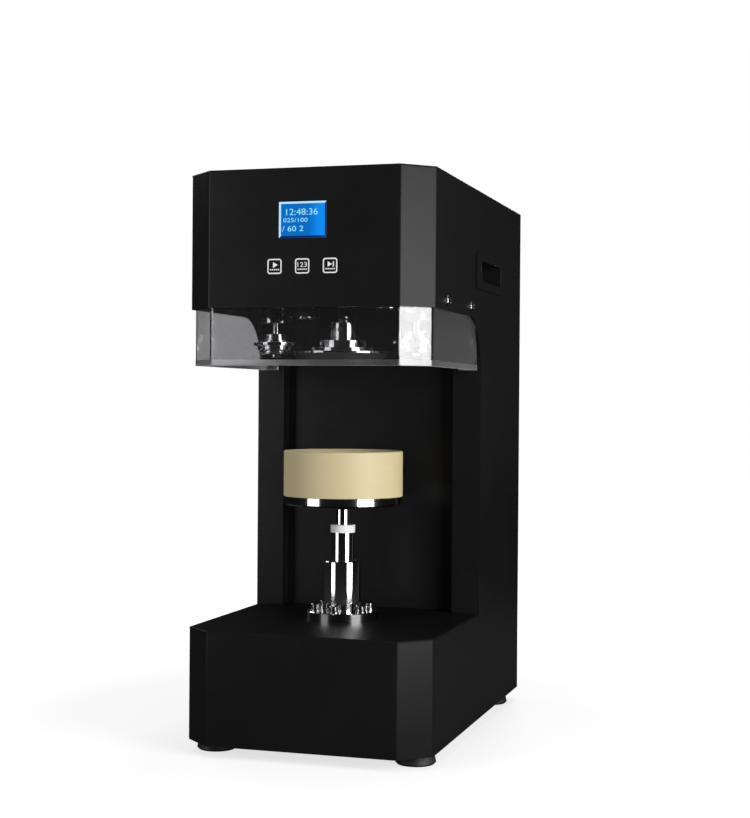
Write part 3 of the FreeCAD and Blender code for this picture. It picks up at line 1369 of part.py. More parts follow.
def height_rod():
    """Polished rod in the ram, flared under the seat plate, with the journal of the seat."""
    body = new_body("height_rod", AXIS)
    low = d.seat_plate_low - d.rod_length
    top = d.seat_plate_low - d.axial_gap
    flare = d.rod_radius + d.rod_flare
    journal = d.seat_plate_low + d.journal_height
    turned(body, [(0, low), (d.rod_radius - 1, low), (d.rod_radius, low + 1), (d.rod_radius, top - 5),
                  (flare, top - 1), (flare, top), (d.journal_radius, top), (d.journal_radius, journal),
                  (0, journal)])


def seat_plate():
    body = new_body("seat_plate", AXIS)
    low, high = d.seat_plate_low, d.seat_low
    radius = d.seat_plate_radius
    bore = d.journal_radius + d.running_gap
    turned(body, [(bore, low), (radius - 1.5, low), (radius, low + 1.5), (radius, high - 0.6),
                  (radius - 0.6, high), (bore, high)])


def can_seat():
    """Nylon cup that centres the can."""
    body = new_body("can_seat", AXIS)
    low = d.seat_low
    high = low + d.seat_height
    floor = low + d.seat_floor
    radius = d.seat_radius
    turned(body, [(d.seat_hole, low), (radius, low), (radius, high - 1), (radius - 1, high),
                  (d.can_radius + d.can_lead, high), (d.can_radius, high - d.can_lead), (d.can_radius, floor),
                  (d.seat_hole, floor)])


# Controls and electrics

def key_spots():
    return [i * d.key_pitch for i in (-1, 0, 1)]


def display():
    """Display module with its board and the key switches, and the lens in front of it."""
    body = new_body("display_module")
    front = d.wall + d.axial_gap
    margin = 4
    half = d.screen_width / 2 + 2 * margin - 1
    top = d.screen_low + d.screen_height + margin
    board = d.switch_face + 2.6
    pad(body, "XZ_Plane", front, board - front, box_points(-half, d.screen_low - margin, half, top))
    wide = d.key_pitch + d.key_size + 2
    pad(body, "XZ_Plane", board, d.board_thickness,
        box_points(-wide, d.key_height - d.key_stem - 2, wide, top + margin))
    switch = d.key_stem + 1
    for x in key_spots():
        pad(body, "XZ_Plane", d.switch_face, board - d.switch_face, square(x, d.key_height, switch))
    lens = new_body("display_lens")
    half = d.screen_width / 2 - d.screen_gap
    pad(lens, "XZ_Plane", d.lens_recess, front - d.lens_recess - d.running_gap,
        box_points(-half, d.screen_low + d.screen_gap, half, d.screen_low + d.screen_height - d.screen_gap))


def keys():
    """Key caps in the front cover, each with a skirt behind it and a stem towards its switch."""
    skirt_front = d.wall + d.key_recess
    stem_front = skirt_front + d.key_skirt
    stem = d.switch_face - d.key_travel - d.key_recess - stem_front
    half = d.key_size / 2
    for name, x in zip(("start_key", "count_key", "jog_key"), key_spots()):
        body = new_body(name)
        pad(body, "XZ_Plane", d.key_recess, stem_front - d.key_recess,
            square(x, d.key_height, half, d.key_corner))
        pad(body, "XZ_Plane", skirt_front, d.key_skirt, square(x, d.key_height, half + d.key_skirt))
        pad(body, "XZ_Plane", stem_front, stem, square(x, d.key_height, d.key_stem))


def control_board():
    """Control board with its larger components, on spacers on the back cover."""
    body = new_body("control_board")
    face = d.frame_back + d.board_gap
    high = d.motor_low - d.board_drop
    low = high - d.board_height
    half = d.board_width / 2
    pad(body, "XZ_Plane", face, d.board_thickness, box_points(-half, low, half, high))
    for across, up, long, tall, proud in BOARD_PARTS:
        x, z = across - half, low + up
        pad(body, "XZ_Plane", face - proud, proud, box_points(x, z, x + long, z + tall))
    edge = 2 * d.spacer_radius
    spots = [(x, z, d.spacer_radius) for x in (edge - half, half - edge) for z in (low + edge, high - edge)]
    rear = face + d.board_thickness
    pad(body, "XZ_Plane", rear, d.back_inner - rear, *spots)


def power_inlet():
    """Appliance inlet and the frame of the power switch, in one moulded module."""
    body = new_body("power_inlet")
    back = d.back_face
    low = d.inlet_low
    high = low + d.inlet_height
    half = d.inlet_width / 2
    pad(body, "XZ_Plane", back - d.inlet_depth, d.inlet_depth,
        box_points(d.seam - half, low + d.seam, half - d.seam, high - d.seam))
    pad(body, "XZ_Plane", back, d.inlet_rim_height,
        box_points(-half - d.inlet_rim, low - d.inlet_rim, half + d.inlet_rim, high + d.inlet_rim))
    mouth, mouth_low, floor = d.mouth_width / 2, low + d.mouth_low, back - d.mouth_depth
    pocket(body, "XZ_Plane", floor, d.mouth_depth + d.inlet_rim_height + THROUGH,
           box_points(-mouth, mouth_low, mouth, mouth_low + d.mouth_height))
    for x, z in INLET_PINS:
        middle = mouth_low + d.mouth_height / 2 + z
        pad(body, "XZ_Plane", floor - THROUGH, d.pin_length + THROUGH,
            box_points(x - 1, middle - 2, x + 1, middle + 2))
    rocker_half = d.rocker_width / 2 + d.rocker_gap
    pivot = high - d.rocker_drop
    pocket(body, "XZ_Plane", back - d.mouth_depth, d.mouth_depth + d.inlet_rim_height + THROUGH,
           box_points(-rocker_half, pivot - d.rocker_half, rocker_half, pivot + d.rocker_half))


def power_rocker():
    """Rocker of the power switch on its trunnions, tilted to its off side."""
    body = new_body("power_rocker", (0, d.back_face - d.depth / 2 - d.rocker_sink,
                                     d.foot_height + d.inlet_low + d.inlet_height - d.rocker_drop))
    half = d.rocker_width / 2
    neck, rise, tip = d.rocker_neck, d.rocker_rise, d.rocker_tip
    pad(body, "YZ_Plane", -half, d.rocker_width,
        [(-d.rocker_sink, -neck), (rise, -tip), (rise - d.rocker_dish, 0), (rise, tip),
         (-d.rocker_sink, neck)])
    trunnion = half + d.rocker_gap - d.running_gap
    pad(body, "YZ_Plane", -trunnion, 2 * trunnion, (0, 0, d.rocker_pivot))
    body.Placement.Rotation = FreeCAD.Rotation(FreeCAD.Vector(1, 0, 0), d.rocker_tilt.value)


# The whole machine

base_front_cover()
base_deck()
side_panel("left", -1)
side_panel("right", 1)
head_front_cover()
top_cover()
column_front_panel()
back_cover()
side_handles()
guard()
housing_screws()
rubber_feet()
bottom_plate()
frame_plates()
mechanism_plate()
spindle_housing()
spindle_bearings()
chuck()
chuck_spindle()
pulleys()
drive_belt()
main_motor()
arm_set("first", 0)
arm_set("second", 180)
cam_drives()
ram_guide()
guide_bush()
guide_screws()
lift_bridge()
lift_ram()
ram_follower()
lift_cam()
lift_gearmotor()
lock_ring()
height_rod()
seat_plate()
can_seat()
display()
keys()
control_board()
power_inlet()
power_rocker()

doc.recompute()
faults = [thing.Label for thing in doc.Objects if {"Invalid", "Error"} & set(thing.State)]
if faults:
    raise ValueError("failed: " + ", ".join(faults))
for part in parts:
    if part.Shape.isNull() or not part.Shape.isValid() or not part.Shape.Solids:
        raise ValueError("bad shape: " + part.Label)
os.makedirs("parts", exist_ok=True)
for part in parts:
    part.Shape.exportStep("parts/%s.step" % part.Label)
print("%d nodes, %d solids" % (len(parts), sum(len(part.Shape.Solids) for part in parts)))
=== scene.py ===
"""Looks of the desktop can seamer: coated housing, clear guard, polished seaming head, nylon seat."""
import math

import bmesh
import bpy
from mathutils import Matrix, Vector


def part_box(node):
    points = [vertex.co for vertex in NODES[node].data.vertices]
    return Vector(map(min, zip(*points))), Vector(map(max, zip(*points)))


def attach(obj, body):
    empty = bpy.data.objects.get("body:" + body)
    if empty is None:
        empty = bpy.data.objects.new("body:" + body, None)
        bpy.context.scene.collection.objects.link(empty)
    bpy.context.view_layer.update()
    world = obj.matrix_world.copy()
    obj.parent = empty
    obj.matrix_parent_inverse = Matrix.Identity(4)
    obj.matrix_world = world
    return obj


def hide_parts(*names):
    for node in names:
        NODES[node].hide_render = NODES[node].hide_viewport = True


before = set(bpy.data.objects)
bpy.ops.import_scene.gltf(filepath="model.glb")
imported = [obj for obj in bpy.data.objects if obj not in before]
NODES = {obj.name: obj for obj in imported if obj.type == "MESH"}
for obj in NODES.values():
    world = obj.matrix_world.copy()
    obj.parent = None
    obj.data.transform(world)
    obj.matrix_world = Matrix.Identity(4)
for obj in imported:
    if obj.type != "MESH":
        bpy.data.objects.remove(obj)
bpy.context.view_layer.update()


MM = 0.001
bpy.ops.object.select_all(action="DESELECT")


# Places read from the frame, in metres

GUARD_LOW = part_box("acrylic_guard")[0]
CHUCK_LOW, CHUCK_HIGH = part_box("seaming_chuck")
LENS_LOW, LENS_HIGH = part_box("display_lens")
RING_LOW, RING_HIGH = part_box("lock_ring")
ROD_LOW, ROD_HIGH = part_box("height_rod")
HANDLE_LOW, HANDLE_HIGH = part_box("side_handles")
GUIDE_SCREW_LOW, GUIDE_SCREW_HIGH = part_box("guide_screws")

AXIS_Y = (CHUCK_LOW.y + CHUCK_HIGH.y) / 2
SIDE_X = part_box("head_front_cover")[1].x
BACK_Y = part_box("back_cover")[1].y


# Camera, fitted to the housing's corners in a 750 by 818 frame

IMAGE_WIDTH = 750
FOCAL_PX = 1565.42
CAMERA_SPOT = Vector((0.51741, -1.66922, 0.35889))
CAMERA_AZIMUTH = 16.881
CAMERA_ELEVATION = 0.251
CAMERA_ROLL = 0.423
SENSOR_WIDTH = 36


def build_camera():
    azimuth, elevation, roll = map(math.radians, (CAMERA_AZIMUTH, CAMERA_ELEVATION, CAMERA_ROLL))
    back = Vector((math.sin(azimuth) * math.cos(elevation), -math.cos(azimuth) * math.cos(elevation),
                   math.sin(elevation)))
    level = Vector((0, 0, 1)).cross(back).normalized()
    upright = back.cross(level)
    right = math.cos(roll) * level + math.sin(roll) * upright
    up = math.cos(roll) * upright - math.sin(roll) * level
    data = bpy.data.cameras.new("photo_camera")
    data.sensor_fit = "HORIZONTAL"
    data.sensor_width = SENSOR_WIDTH
    data.lens = FOCAL_PX * SENSOR_WIDTH / IMAGE_WIDTH
    data.clip_end = 50
    camera = bpy.data.objects.new("photo_camera", data)
    bpy.context.scene.collection.objects.link(camera)
    turn = Matrix((right, up, back)).transposed().to_4x4()
    camera.matrix_world = Matrix.Translation(CAMERA_SPOT) @ turn
    bpy.context.scene.camera = camera


# Shader helpers

def new_material(name):
    """A node material, its tree and its Principled shader."""
    material = bpy.data.materials.new(name)
    material.use_nodes = True
    tree = material.node_tree
    return material, tree, tree.nodes["Principled BSDF"]


def new_group(name, inputs, outputs):
    """A shader node group with named inputs (name, default) and outputs, all of them values."""
    tree = bpy.data.node_groups.new(name, "ShaderNodeTree")
    for label, default in inputs:
        socket = tree.interface.new_socket(label, in_out="INPUT", socket_type="NodeSocketFloat")
        socket.default_value = default
    for label in outputs:
        tree.interface.new_socket(label, in_out="OUTPUT", socket_type="NodeSocketFloat")
    return tree, tree.nodes.new("NodeGroupInput"), tree.nodes.new("NodeGroupOutput")


def math_node(tree, operation, first, second=None, clamp=False):
    node = tree.nodes.new("ShaderNodeMath")
    node.operation = operation
    node.use_clamp = clamp
    for socket, value in zip(node.inputs, (first, second)):
        if isinstance(value, (int, float)):
            socket.default_value = value
        elif value is not None:
            tree.links.new(value, socket)
    return node.outputs[0]


def plus(tree, first, second, clamp=False):
    return math_node(tree, "ADD", first, second, clamp)


def minus(tree, first, second):
    return math_node(tree, "SUBTRACT", first, second)


def times(tree, first, second):
    return math_node(tree, "MULTIPLY", first, second)


def noise_node(tree, vector, scale, detail=2.0, roughness=0.5):
    node = tree.nodes.new("ShaderNodeTexNoise")
    node.inputs["Detail"].default_value = detail
    node.inputs["Roughness"].default_value = roughness
    tree.links.new(vector, node.inputs["Vector"])
    if isinstance(scale, (int, float)):
        node.inputs["Scale"].default_value = scale
    else:
        tree.links.new(scale, node.inputs["Scale"])
    return node.outputs["Fac"]


def spread_node(tree, value, low, high, new_low, new_high):
    node = tree.nodes.new("ShaderNodeMapRange")
    for socket, number in zip(node.inputs[1:5], (low, high, new_low, new_high)):
        socket.default_value = number
    tree.links.new(value, node.inputs[0])
    return node.outputs[0]


def mix_colour(tree, factor, first, second):
    node = tree.nodes.new("ShaderNodeMix")
    node.data_type = "RGBA"
    sockets = node.inputs["Factor"], node.inputs[6], node.inputs[7]
    for socket, value in zip(sockets, (factor, first, second)):
        if isinstance(value, tuple):
            socket.default_value = value
        else:
            tree.links.new(value, socket)
    return node.outputs[2]


def object_place(tree):
    """The surface point in the machine's own frame, whole and split into X, Y and Z."""
    where = tree.nodes.new("ShaderNodeTexCoord").outputs["Object"]
    split = tree.nodes.new("ShaderNodeSeparateXYZ")
    tree.links.new(where, split.inputs[0])
    return where, split.outputs


PEEL_SCALE = 1100
WAVE_SCALE = 260
WAVE_SHARE = 0.6
SMUDGE_SCALE = 9
SMUDGE_DULLING = 0.05
PEEL_DULLING = 0.12


def coat_grain_group():
    """Fine orange-peel of powder coat with faint handling smudges."""
    tree, entry, leave = new_group("coat_grain", [("Grain", 1.0), ("Smudge", 1.0), ("Rough", 0.4)],
                                   ["Height", "Roughness", "Smudges"])
    where, _ = object_place(tree)
    peel = noise_node(tree, where, PEEL_SCALE, 3, 0.55)
    wave = noise_node(tree, where, WAVE_SCALE, 2, 0.5)
    height = plus(tree, peel, times(tree, wave, WAVE_SHARE))
    tree.links.new(times(tree, height, entry.outputs["Grain"]), leave.inputs["Height"])
    cloud = spread_node(tree, noise_node(tree, where, SMUDGE_SCALE, 5, 0.6), 0.35, 0.7, 0, 1)
    dulled = times(tree, cloud, times(tree, entry.outputs["Smudge"], SMUDGE_DULLING))
    speck = times(tree, minus(tree, peel, 0.5), PEEL_DULLING)
    rough = plus(tree, plus(tree, entry.outputs["Rough"], dulled), speck)
    tree.links.new(rough, leave.inputs["Roughness"])
    tree.links.new(cloud, leave.inputs["Smudges"])
    return tree


FINE_RINGS = 2600
WIDE_RINGS = 420
WIPE_SCALE = 55


def lathe_group():
    """Fine rings of a turned surface about a vertical axis at X, Y, with a slow unevenness."""
    tree, entry, leave = new_group(
        "lathe_rings",
        [("Centre X", 0.0), ("Centre Y", 0.0), ("Fineness", 1.0), ("Rough", 0.15), ("Spread", 0.1)],
        ["Height", "Roughness", "Rings"])
    where, place = object_place(tree)
    across = minus(tree, place[0], entry.outputs["Centre X"])
    deep = minus(tree, place[1], entry.outputs["Centre Y"])
    squares = plus(tree, times(tree, across, across), times(tree, deep, deep))
    ring_at = tree.nodes.new("ShaderNodeCombineXYZ")
    tree.links.new(math_node(tree, "SQRT", squares), ring_at.inputs[0])
    tree.links.new(place[2], ring_at.inputs[2])
    fineness = entry.outputs["Fineness"]
    fine = noise_node(tree, ring_at.outputs[0], times(tree, fineness, FINE_RINGS), 3, 0.7)
    wide = noise_node(tree, ring_at.outputs[0], times(tree, fineness, WIDE_RINGS), 2, 0.5)
    rings = plus(tree, times(tree, fine, 0.6), times(tree, wide, 0.4))
    tree.links.new(rings, leave.inputs["Height"])
    tree.links.new(rings, leave.inputs["Rings"])
    wiped = times(tree, noise_node(tree, where, WIPE_SCALE, 4, 0.6), 0.5)
    uneven = minus(tree, plus(tree, rings, wiped), 0.75)
    varied = times(tree, uneven, entry.outputs["Spread"])
    rough = plus(tree, entry.outputs["Rough"], varied, clamp=True)
    tree.links.new(rough, leave.inputs["Roughness"])
    return tree


def add_bump(tree, shader, height, distance):
    """Feeds a height to the shader's normal."""
    bump = tree.nodes.new("ShaderNodeBump")
    bump.inputs["Distance"].default_value = distance
    tree.links.new(height, bump.inputs["Height"])
    tree.links.new(bump.outputs[0], shader.inputs["Normal"])


def place_group(tree, group, **values):
    node = tree.nodes.new("ShaderNodeGroup")
    node.node_tree = group
    for label, value in values.items():
        node.inputs[label.replace("_", " ")].default_value = value
    return node.outputs


COAT_GRAIN = coat_grain_group()
LATHE_RINGS = lathe_group()


# Materials

COAT_BUMP = 0.03 * MM
NYLON_BUMP = 0.01 * MM
POLISH_BUMP = 0.0003 * MM
GROUND_BUMP = 0.0015 * MM
SCRATCH_BUMP = 0.002 * MM
SCRATCH_SCALE = 1400
CLOUD_SCALE = 70
WIPE_MARK_SCALE = 14
ACRYLIC_IOR = 1.585
HAZE_ROUGHNESS = 0.45
GLOW = 0.9
GLOW_PATCH_SCALE = 60
GLOW_PATCHES = 0.35
BACKLIGHT_FROM = 6 * MM
BACKLIGHT_TO = 17 * MM


def shade(colour, factor, lift=0.0):
    return tuple(min(1, c * factor + lift) for c in colour[:3]) + (1,)


def coated(name, colour, rough, grain=1.0, specular=0.11):
    """Powder-coated or moulded surface with fine grain."""
    material, tree, shader = new_material(name)
    coat = place_group(tree, COAT_GRAIN, Grain=grain, Rough=rough)
    smudged = shade(colour, 1.15, 0.0005)
    tree.links.new(mix_colour(tree, coat["Smudges"], colour, smudged), shader.inputs["Base Color"])
    tree.links.new(coat["Roughness"], shader.inputs["Roughness"])
    shader.inputs["Specular IOR Level"].default_value = specular
    add_bump(tree, shader, coat["Height"], COAT_BUMP)
    return material


def turned(name, colour, rough, spread, bump, fineness=1.0, metallic=1.0, centre=(0, AXIS_Y)):
    """Lathe-turned metal or nylon with its rings about a vertical axis."""
    material, tree, shader = new_material(name)
    rings = place_group(tree, LATHE_RINGS, Centre_X=centre[0], Centre_Y=centre[1], Fineness=fineness,
                        Rough=rough, Spread=spread)
    tree.links.new(mix_colour(tree, rings["Rings"], shade(colour, 0.86), colour),
                   shader.inputs["Base Color"])
    tree.links.new(rings["Roughness"], shader.inputs["Roughness"])
    shader.inputs["Metallic"].default_value = metallic
    add_bump(tree, shader, rings["Height"], bump)
    return material


def polished(name, colour, rough):
    """Ground and polished steel with faint clouding, whatever the axis of the piece."""
    material, tree, shader = new_material(name)
    where, _ = object_place(tree)
    cloud = noise_node(tree, where, CLOUD_SCALE, 4, 0.6)
    scratch = noise_node(tree, where, SCRATCH_SCALE, 2, 0.5)
    tree.links.new(mix_colour(tree, cloud, shade(colour, 0.85), colour), shader.inputs["Base Color"])
    tree.links.new(spread_node(tree, cloud, 0.3, 0.7, rough - 0.02, rough + 0.04),
                   shader.inputs["Roughness"])
    shader.inputs["Metallic"].default_value = 1
    add_bump(tree, shader, scratch, SCRATCH_BUMP)
    return material


def clear_sheet(name, tint, rough, haze):
    """Clear or smoked acrylic with faint wipe marks and a little haze."""
    material, tree, shader = new_material(name)
    where, _ = object_place(tree)
    wipe = noise_node(tree, where, WIPE_MARK_SCALE, 6, 0.65)
    tree.links.new(spread_node(tree, wipe, 0.4, 0.75, rough, rough + 0.05), shader.inputs["Roughness"])
    tree.links.new(mix_colour(tree, wipe, shade(tint, 0.97), tint), shader.inputs["Base Color"])
    shader.inputs["Transmission Weight"].default_value = 1
    shader.inputs["IOR"].default_value = ACRYLIC_IOR
    shader.inputs["Sheen Weight"].default_value = haze
    shader.inputs["Sheen Roughness"].default_value = HAZE_ROUGHNESS
    return material


def mottled(name, colour, rough, metallic=0.0, scale=220, bump=COAT_BUMP, contrast=0.25):
    """Cast, moulded or rubber surface with a slow mottle and a fine bump."""
    material, tree, shader = new_material(name)
    where, _ = object_place(tree)
    mottle = noise_node(tree, where, scale, 5, 0.6)
    tree.links.new(mix_colour(tree, mottle, shade(colour, 1 - contrast), colour),
                   shader.inputs["Base Color"])
    tree.links.new(spread_node(tree, mottle, 0.3, 0.7, rough - 0.06, rough + 0.06),
                   shader.inputs["Roughness"])
    shader.inputs["Metallic"].default_value = metallic
    add_bump(tree, shader, mottle, bump)
    return material


def lit(name, colour):
    """A lit area of the display in one colour; on the screen's rim it is a glowing painted highlight or
    a glowing painted shade.
    """
    material, tree, shader = new_material(name)
    shader.inputs["Base Color"].default_value = shade(colour, 0.2)
    shader.inputs["Emission Color"].default_value = colour
    shader.inputs["Emission Strength"].default_value = GLOW
    shader.inputs["Roughness"].default_value = 0.15
    shader.inputs["Specular IOR Level"].default_value = 0.2
    return material


def backlit(name, left, right):
    """A lit area whose backlight changes from left to right, in soft patches."""
    material = lit(name, left)
    tree = material.node_tree
    shader = tree.nodes["Principled BSDF"]
    where, place = object_place(tree)
    cloud = noise_node(tree, where, GLOW_PATCH_SCALE, 2, 0.5)
    patch = times(tree, minus(tree, cloud, 0.5), GLOW_PATCHES)
    across = spread_node(tree, place[0], BACKLIGHT_FROM, BACKLIGHT_TO, 0, 1)
    glow = mix_colour(tree, plus(tree, across, patch, clamp=True), left, right)
    tree.links.new(glow, shader.inputs["Emission Color"])
    tree.links.new(mix_colour(tree, across, shade(left, 0.2), shade(right, 0.2)),
                   shader.inputs["Base Color"])
    return material


BLACK = (0.0068, 0.0068, 0.007, 1)
STEEL = (0.66, 0.66, 0.67, 1)
M = {
    "coat": coated("black_powder_coat", BLACK, 0.28),
    "deck": coated("black_deck_coat", BLACK, 0.42, specular=0.035),
    "top": coated("black_top_coat", BLACK, 0.38, specular=0.06),
    # The lip's colour, a little lighter than the moulding, is a faint painted highlight along the
    # pocket's edge; its extra gloss is real.
    "lip": coated("polished_edge_painted_highlight", (0.01, 0.01, 0.0105, 1), 0.24, grain=0.3, specular=0.2),
    "moulding": coated("black_moulding", (0.0065, 0.0065, 0.0067, 1), 0.26, grain=0.5, specular=0.14),
    "rubber": mottled("foot_rubber", (0.012, 0.012, 0.012, 1), 0.6, contrast=0.4),
    "steel": turned("polished_steel", STEEL, 0.055, 0.04, POLISH_BUMP),
    "ground_steel": polished("ground_steel", STEEL, 0.07),
    "seat_steel": turned("seat_plate_steel", STEEL, 0.1, 0.08, GROUND_BUMP, fineness=0.8),
    "zinc": mottled("zinc_plated_steel", (0.42, 0.43, 0.45, 1), 0.38, metallic=1.0, scale=90),
    "aluminium": mottled("machined_aluminium", (0.66, 0.67, 0.68, 1), 0.3, metallic=1.0, scale=160),
    "bronze": mottled("sintered_bronze", (0.5, 0.31, 0.12, 1), 0.35, metallic=1.0, scale=500),
    "belt": mottled("belt_rubber", (0.011, 0.011, 0.012, 1), 0.55, contrast=0.3),
    "motor": mottled("motor_paint", (0.12, 0.125, 0.13, 1), 0.42, scale=300),
    "white_nylon": mottled("white_nylon", (0.78, 0.78, 0.77, 1), 0.42, scale=500, bump=NYLON_BUMP,
                           contrast=0.1),
    "cream_nylon": turned("cream_nylon", (0.59, 0.49, 0.285, 1), 0.56, 0.1, NYLON_BUMP, fineness=0.7,
                          metallic=0.0),
    "board": mottled("circuit_board", (0.015, 0.11, 0.04, 1), 0.35, scale=400),
    "screw": polished("bright_screw", (0.7, 0.7, 0.71, 1), 0.16),
    "cap_steel": polished("cap_screw_steel", (0.4, 0.4, 0.41, 1), 0.1),
    "acrylic": clear_sheet("smoked_acrylic", (0.61, 0.61, 0.62, 1), 0.01, 0.3),
    "trim": clear_sheet("frosted_trim", (0.86, 0.86, 0.87, 1), 0.35, 0.5),
    "screen": backlit("blue_screen", (0.002, 0.14, 0.5, 1), (0.002, 0.24, 0.8, 1)),
    "screen_lines": lit("pale_screen_lines", (0.3, 0.72, 0.9, 1)),
    # The rim's pale colour is a glowing painted highlight, and its dark colour a glowing painted shade.
    "screen_rim": lit("screen_rim_painted_highlight", (0.5, 0.74, 0.95, 1)),
    "screen_shadow": lit("screen_rim_painted_shade", (0.0015, 0.02, 0.13, 1)),
    "key_print": mottled("key_print", (0.86, 0.86, 0.85, 1), 0.4, contrast=0.1),
}
NODE_MATERIALS = {
    "coat": ["base_front_cover", "head_front_cover", "left_side_panel", "right_side_panel",
             "column_front_panel", "back_cover"],
    "deck": ["base_deck"],
    "top": ["top_cover"],
    "moulding": ["side_handles", "power_inlet", "power_rocker", "start_key", "count_key", "jog_key"],
    "rubber": ["rubber_feet"],
    "steel": ["seaming_chuck", "chuck_spindle", "lift_ram", "height_rod", "ram_guide",
              "spindle_housing", "spindle_bearings"],
    "ground_steel": ["first_roller_arm", "second_roller_arm", "first_seaming_roller",
                     "second_seaming_roller", "first_arm_shaft", "second_arm_shaft",
                     "first_follower_lever", "second_follower_lever", "first_roller_bolt",
                     "second_roller_bolt", "first_arm_cam", "second_arm_cam", "lift_cam",
                     "ram_follower"],
    "seat_steel": ["seat_plate"],
    "zinc": ["bottom_plate", "frame_plates", "frame_cross_brace", "lift_bridge", "cam_motor_brackets"],
    "aluminium": ["mechanism_plate", "spindle_pulley", "motor_pulley"],
    "bronze": ["arm_bushes", "guide_bush"],
    "belt": ["drive_belt"],
    "motor": ["main_motor", "lift_gearmotor", "cam_motors"],
    "white_nylon": ["lock_ring"],
    "cream_nylon": ["can_seat"],
    "board": ["display_module", "control_board"],
    "screw": ["housing_screws", "guide_screws"],
    "acrylic": ["acrylic_guard"],
    "screen": ["display_lens"],
}


def dress_nodes():
    for finish, names in NODE_MATERIALS.items():
        for name in names:
            mesh = NODES[name].data
            mesh.materials.clear()
            mesh.materials.append(M[finish])


# Modelling helpers

def begin_piece(name, add, **options):
    """Adds a primitive and opens it in edit mode with nothing selected."""
    bpy.ops.object.select_all(action="DESELECT")
    add(**options)
    piece = bpy.context.object
    piece.name = name
    piece.data.name = name
    bpy.ops.object.transform_apply(location=True, rotation=True, scale=True)
    bpy.ops.object.mode_set(mode="EDIT")
    bpy.ops.mesh.select_all(action="DESELECT")
    return piece


def begin_box(name, low, high):
    low, high = Vector(low), Vector(high)
    return begin_piece(name, bpy.ops.mesh.primitive_cube_add, size=1, location=(low + high) / 2,
                       scale=high - low)


def pick(kind, wanted):
    """In edit mode, selects the faces, edges or points that the test takes, and nothing else."""
    mesh = bpy.context.object.data
    bpy.ops.mesh.select_mode(type=kind)
    bpy.ops.mesh.select_all(action="DESELECT")
    shape = bmesh.from_edit_mesh(mesh)
    for item in {"FACE": shape.faces, "EDGE": shape.edges, "VERT": shape.verts}[kind]:
        if wanted(item):
            item.select_set(True)
    shape.select_flush_mode()
    bmesh.update_edit_mesh(mesh)


def middle(edge):
    return (edge.verts[0].co + edge.verts[1].co) / 2


def along(edge):
    return (edge.verts[1].co - edge.verts[0].co).normalized()


def in_metres(outline, lift=0.0):
    """A (radius, height) outline given in millimetres, in metres and raised by a lift."""
    return [(radius * MM, lift + height * MM) for radius, height in outline]


def spin_profile(name, centre, profile, steps):
    """Turns a profile of (radius, height) points about a vertical axis, and stays in edit mode."""
    first = Vector((profile[0][0], 0, profile[0][1]))
    piece = begin_piece(name, bpy.ops.mesh.primitive_plane_add, size=MM,
                        location=Vector(centre) + first)
    bpy.ops.mesh.select_mode(type="VERT")
    bpy.ops.mesh.select_all(action="SELECT")
    bpy.ops.mesh.merge(type="CENTER")
    for (radius, height), (next_radius, next_height) in zip(profile, profile[1:]):
        bpy.ops.mesh.extrude_vertices_move(
            TRANSFORM_OT_translate={"value": (next_radius - radius, 0, next_height - height)})
    bpy.ops.mesh.select_all(action="SELECT")
    bpy.ops.mesh.spin(steps=steps, angle=math.tau, center=centre, axis=(0, 0, 1))
    bpy.ops.mesh.select_all(action="SELECT")
    bpy.ops.mesh.remove_doubles(threshold=MM / 1000)
    bpy.ops.mesh.normals_make_consistent(inside=False)
    return piece


def assign_finish(piece, index, wanted):
    piece.active_material_index = index
    pick("FACE", wanted)
    bpy.ops.object.material_slot_assign()


def end_piece(piece, finish=None, angle=30):
    """Leaves edit mode, smooths all but the sharp edges and gives the piece its finish, if any."""
    if bpy.context.mode != "OBJECT":
        bpy.ops.object.mode_set(mode="OBJECT")
    bpy.ops.object.select_all(action="DESELECT")
    piece.select_set(True)
    bpy.context.view_layer.objects.active = piece
    bpy.ops.object.shade_smooth_by_angle(angle=math.radians(angle))
    if finish:
        piece.data.materials.clear()
        piece.data.materials.append(M[finish])


def fix_to(piece, body, slot, *nodes):
    """Makes a piece ride on a body, in the nodes' place if it replaces any."""
    if nodes:
        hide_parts(*nodes)
    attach(piece, body)


def drill_out(piece, cutter):
    """Takes a cutter's shape out of a finished piece."""
    modifier = piece.modifiers.new("hole", "BOOLEAN")
    modifier.operation = "DIFFERENCE"
    modifier.object = cutter
    bpy.context.view_layer.objects.active = piece
    bpy.ops.object.modifier_apply(modifier="hole")
    bpy.data.objects.remove(cutter, do_unlink=True)


def cut_socket(piece, top, radius, depth):
    """Sinks a hexagon socket into an upright screw's head."""
    bpy.ops.mesh.primitive_cylinder_add(vertices=6, radius=radius, depth=2 * depth,
                                        location=(0, 0, top))
    drill_out(piece, bpy.context.object)


def copies(pattern, name, spots):
    """Copies of a piece modelled upright at the origin, one at each (place, direction), as one piece."""
    made = []
    for place, direction in spots:
        copy = pattern.copy()
        copy.data = pattern.data.copy()
        bpy.context.scene.collection.objects.link(copy)
        turn = Vector(direction).to_track_quat("Z", "Y").to_matrix().to_4x4()
        copy.data.transform(Matrix.Translation(place) @ turn)
        made.append(copy)
    bpy.data.objects.remove(pattern, do_unlink=True)
    return join(name, made)


def join(name, pieces):
    bpy.ops.object.select_all(action="DESELECT")
    for piece in pieces:
        piece.select_set(True)
    bpy.context.view_layer.objects.active = pieces[0]
    if len(pieces) > 1:
        bpy.ops.object.join()
    joined = bpy.context.object
    joined.name = name
    joined.data.name = name
    return joined


def tips(node, reach):
    """The outermost point of each of a node's solids on one side, each once."""
    found = []
    for vertex in NODES[node].data.vertices:
        if reach(vertex.co) and all((vertex.co - other).length > 2 * MM for other in found):
            found.append(vertex.co.copy())
    return found


# Screws

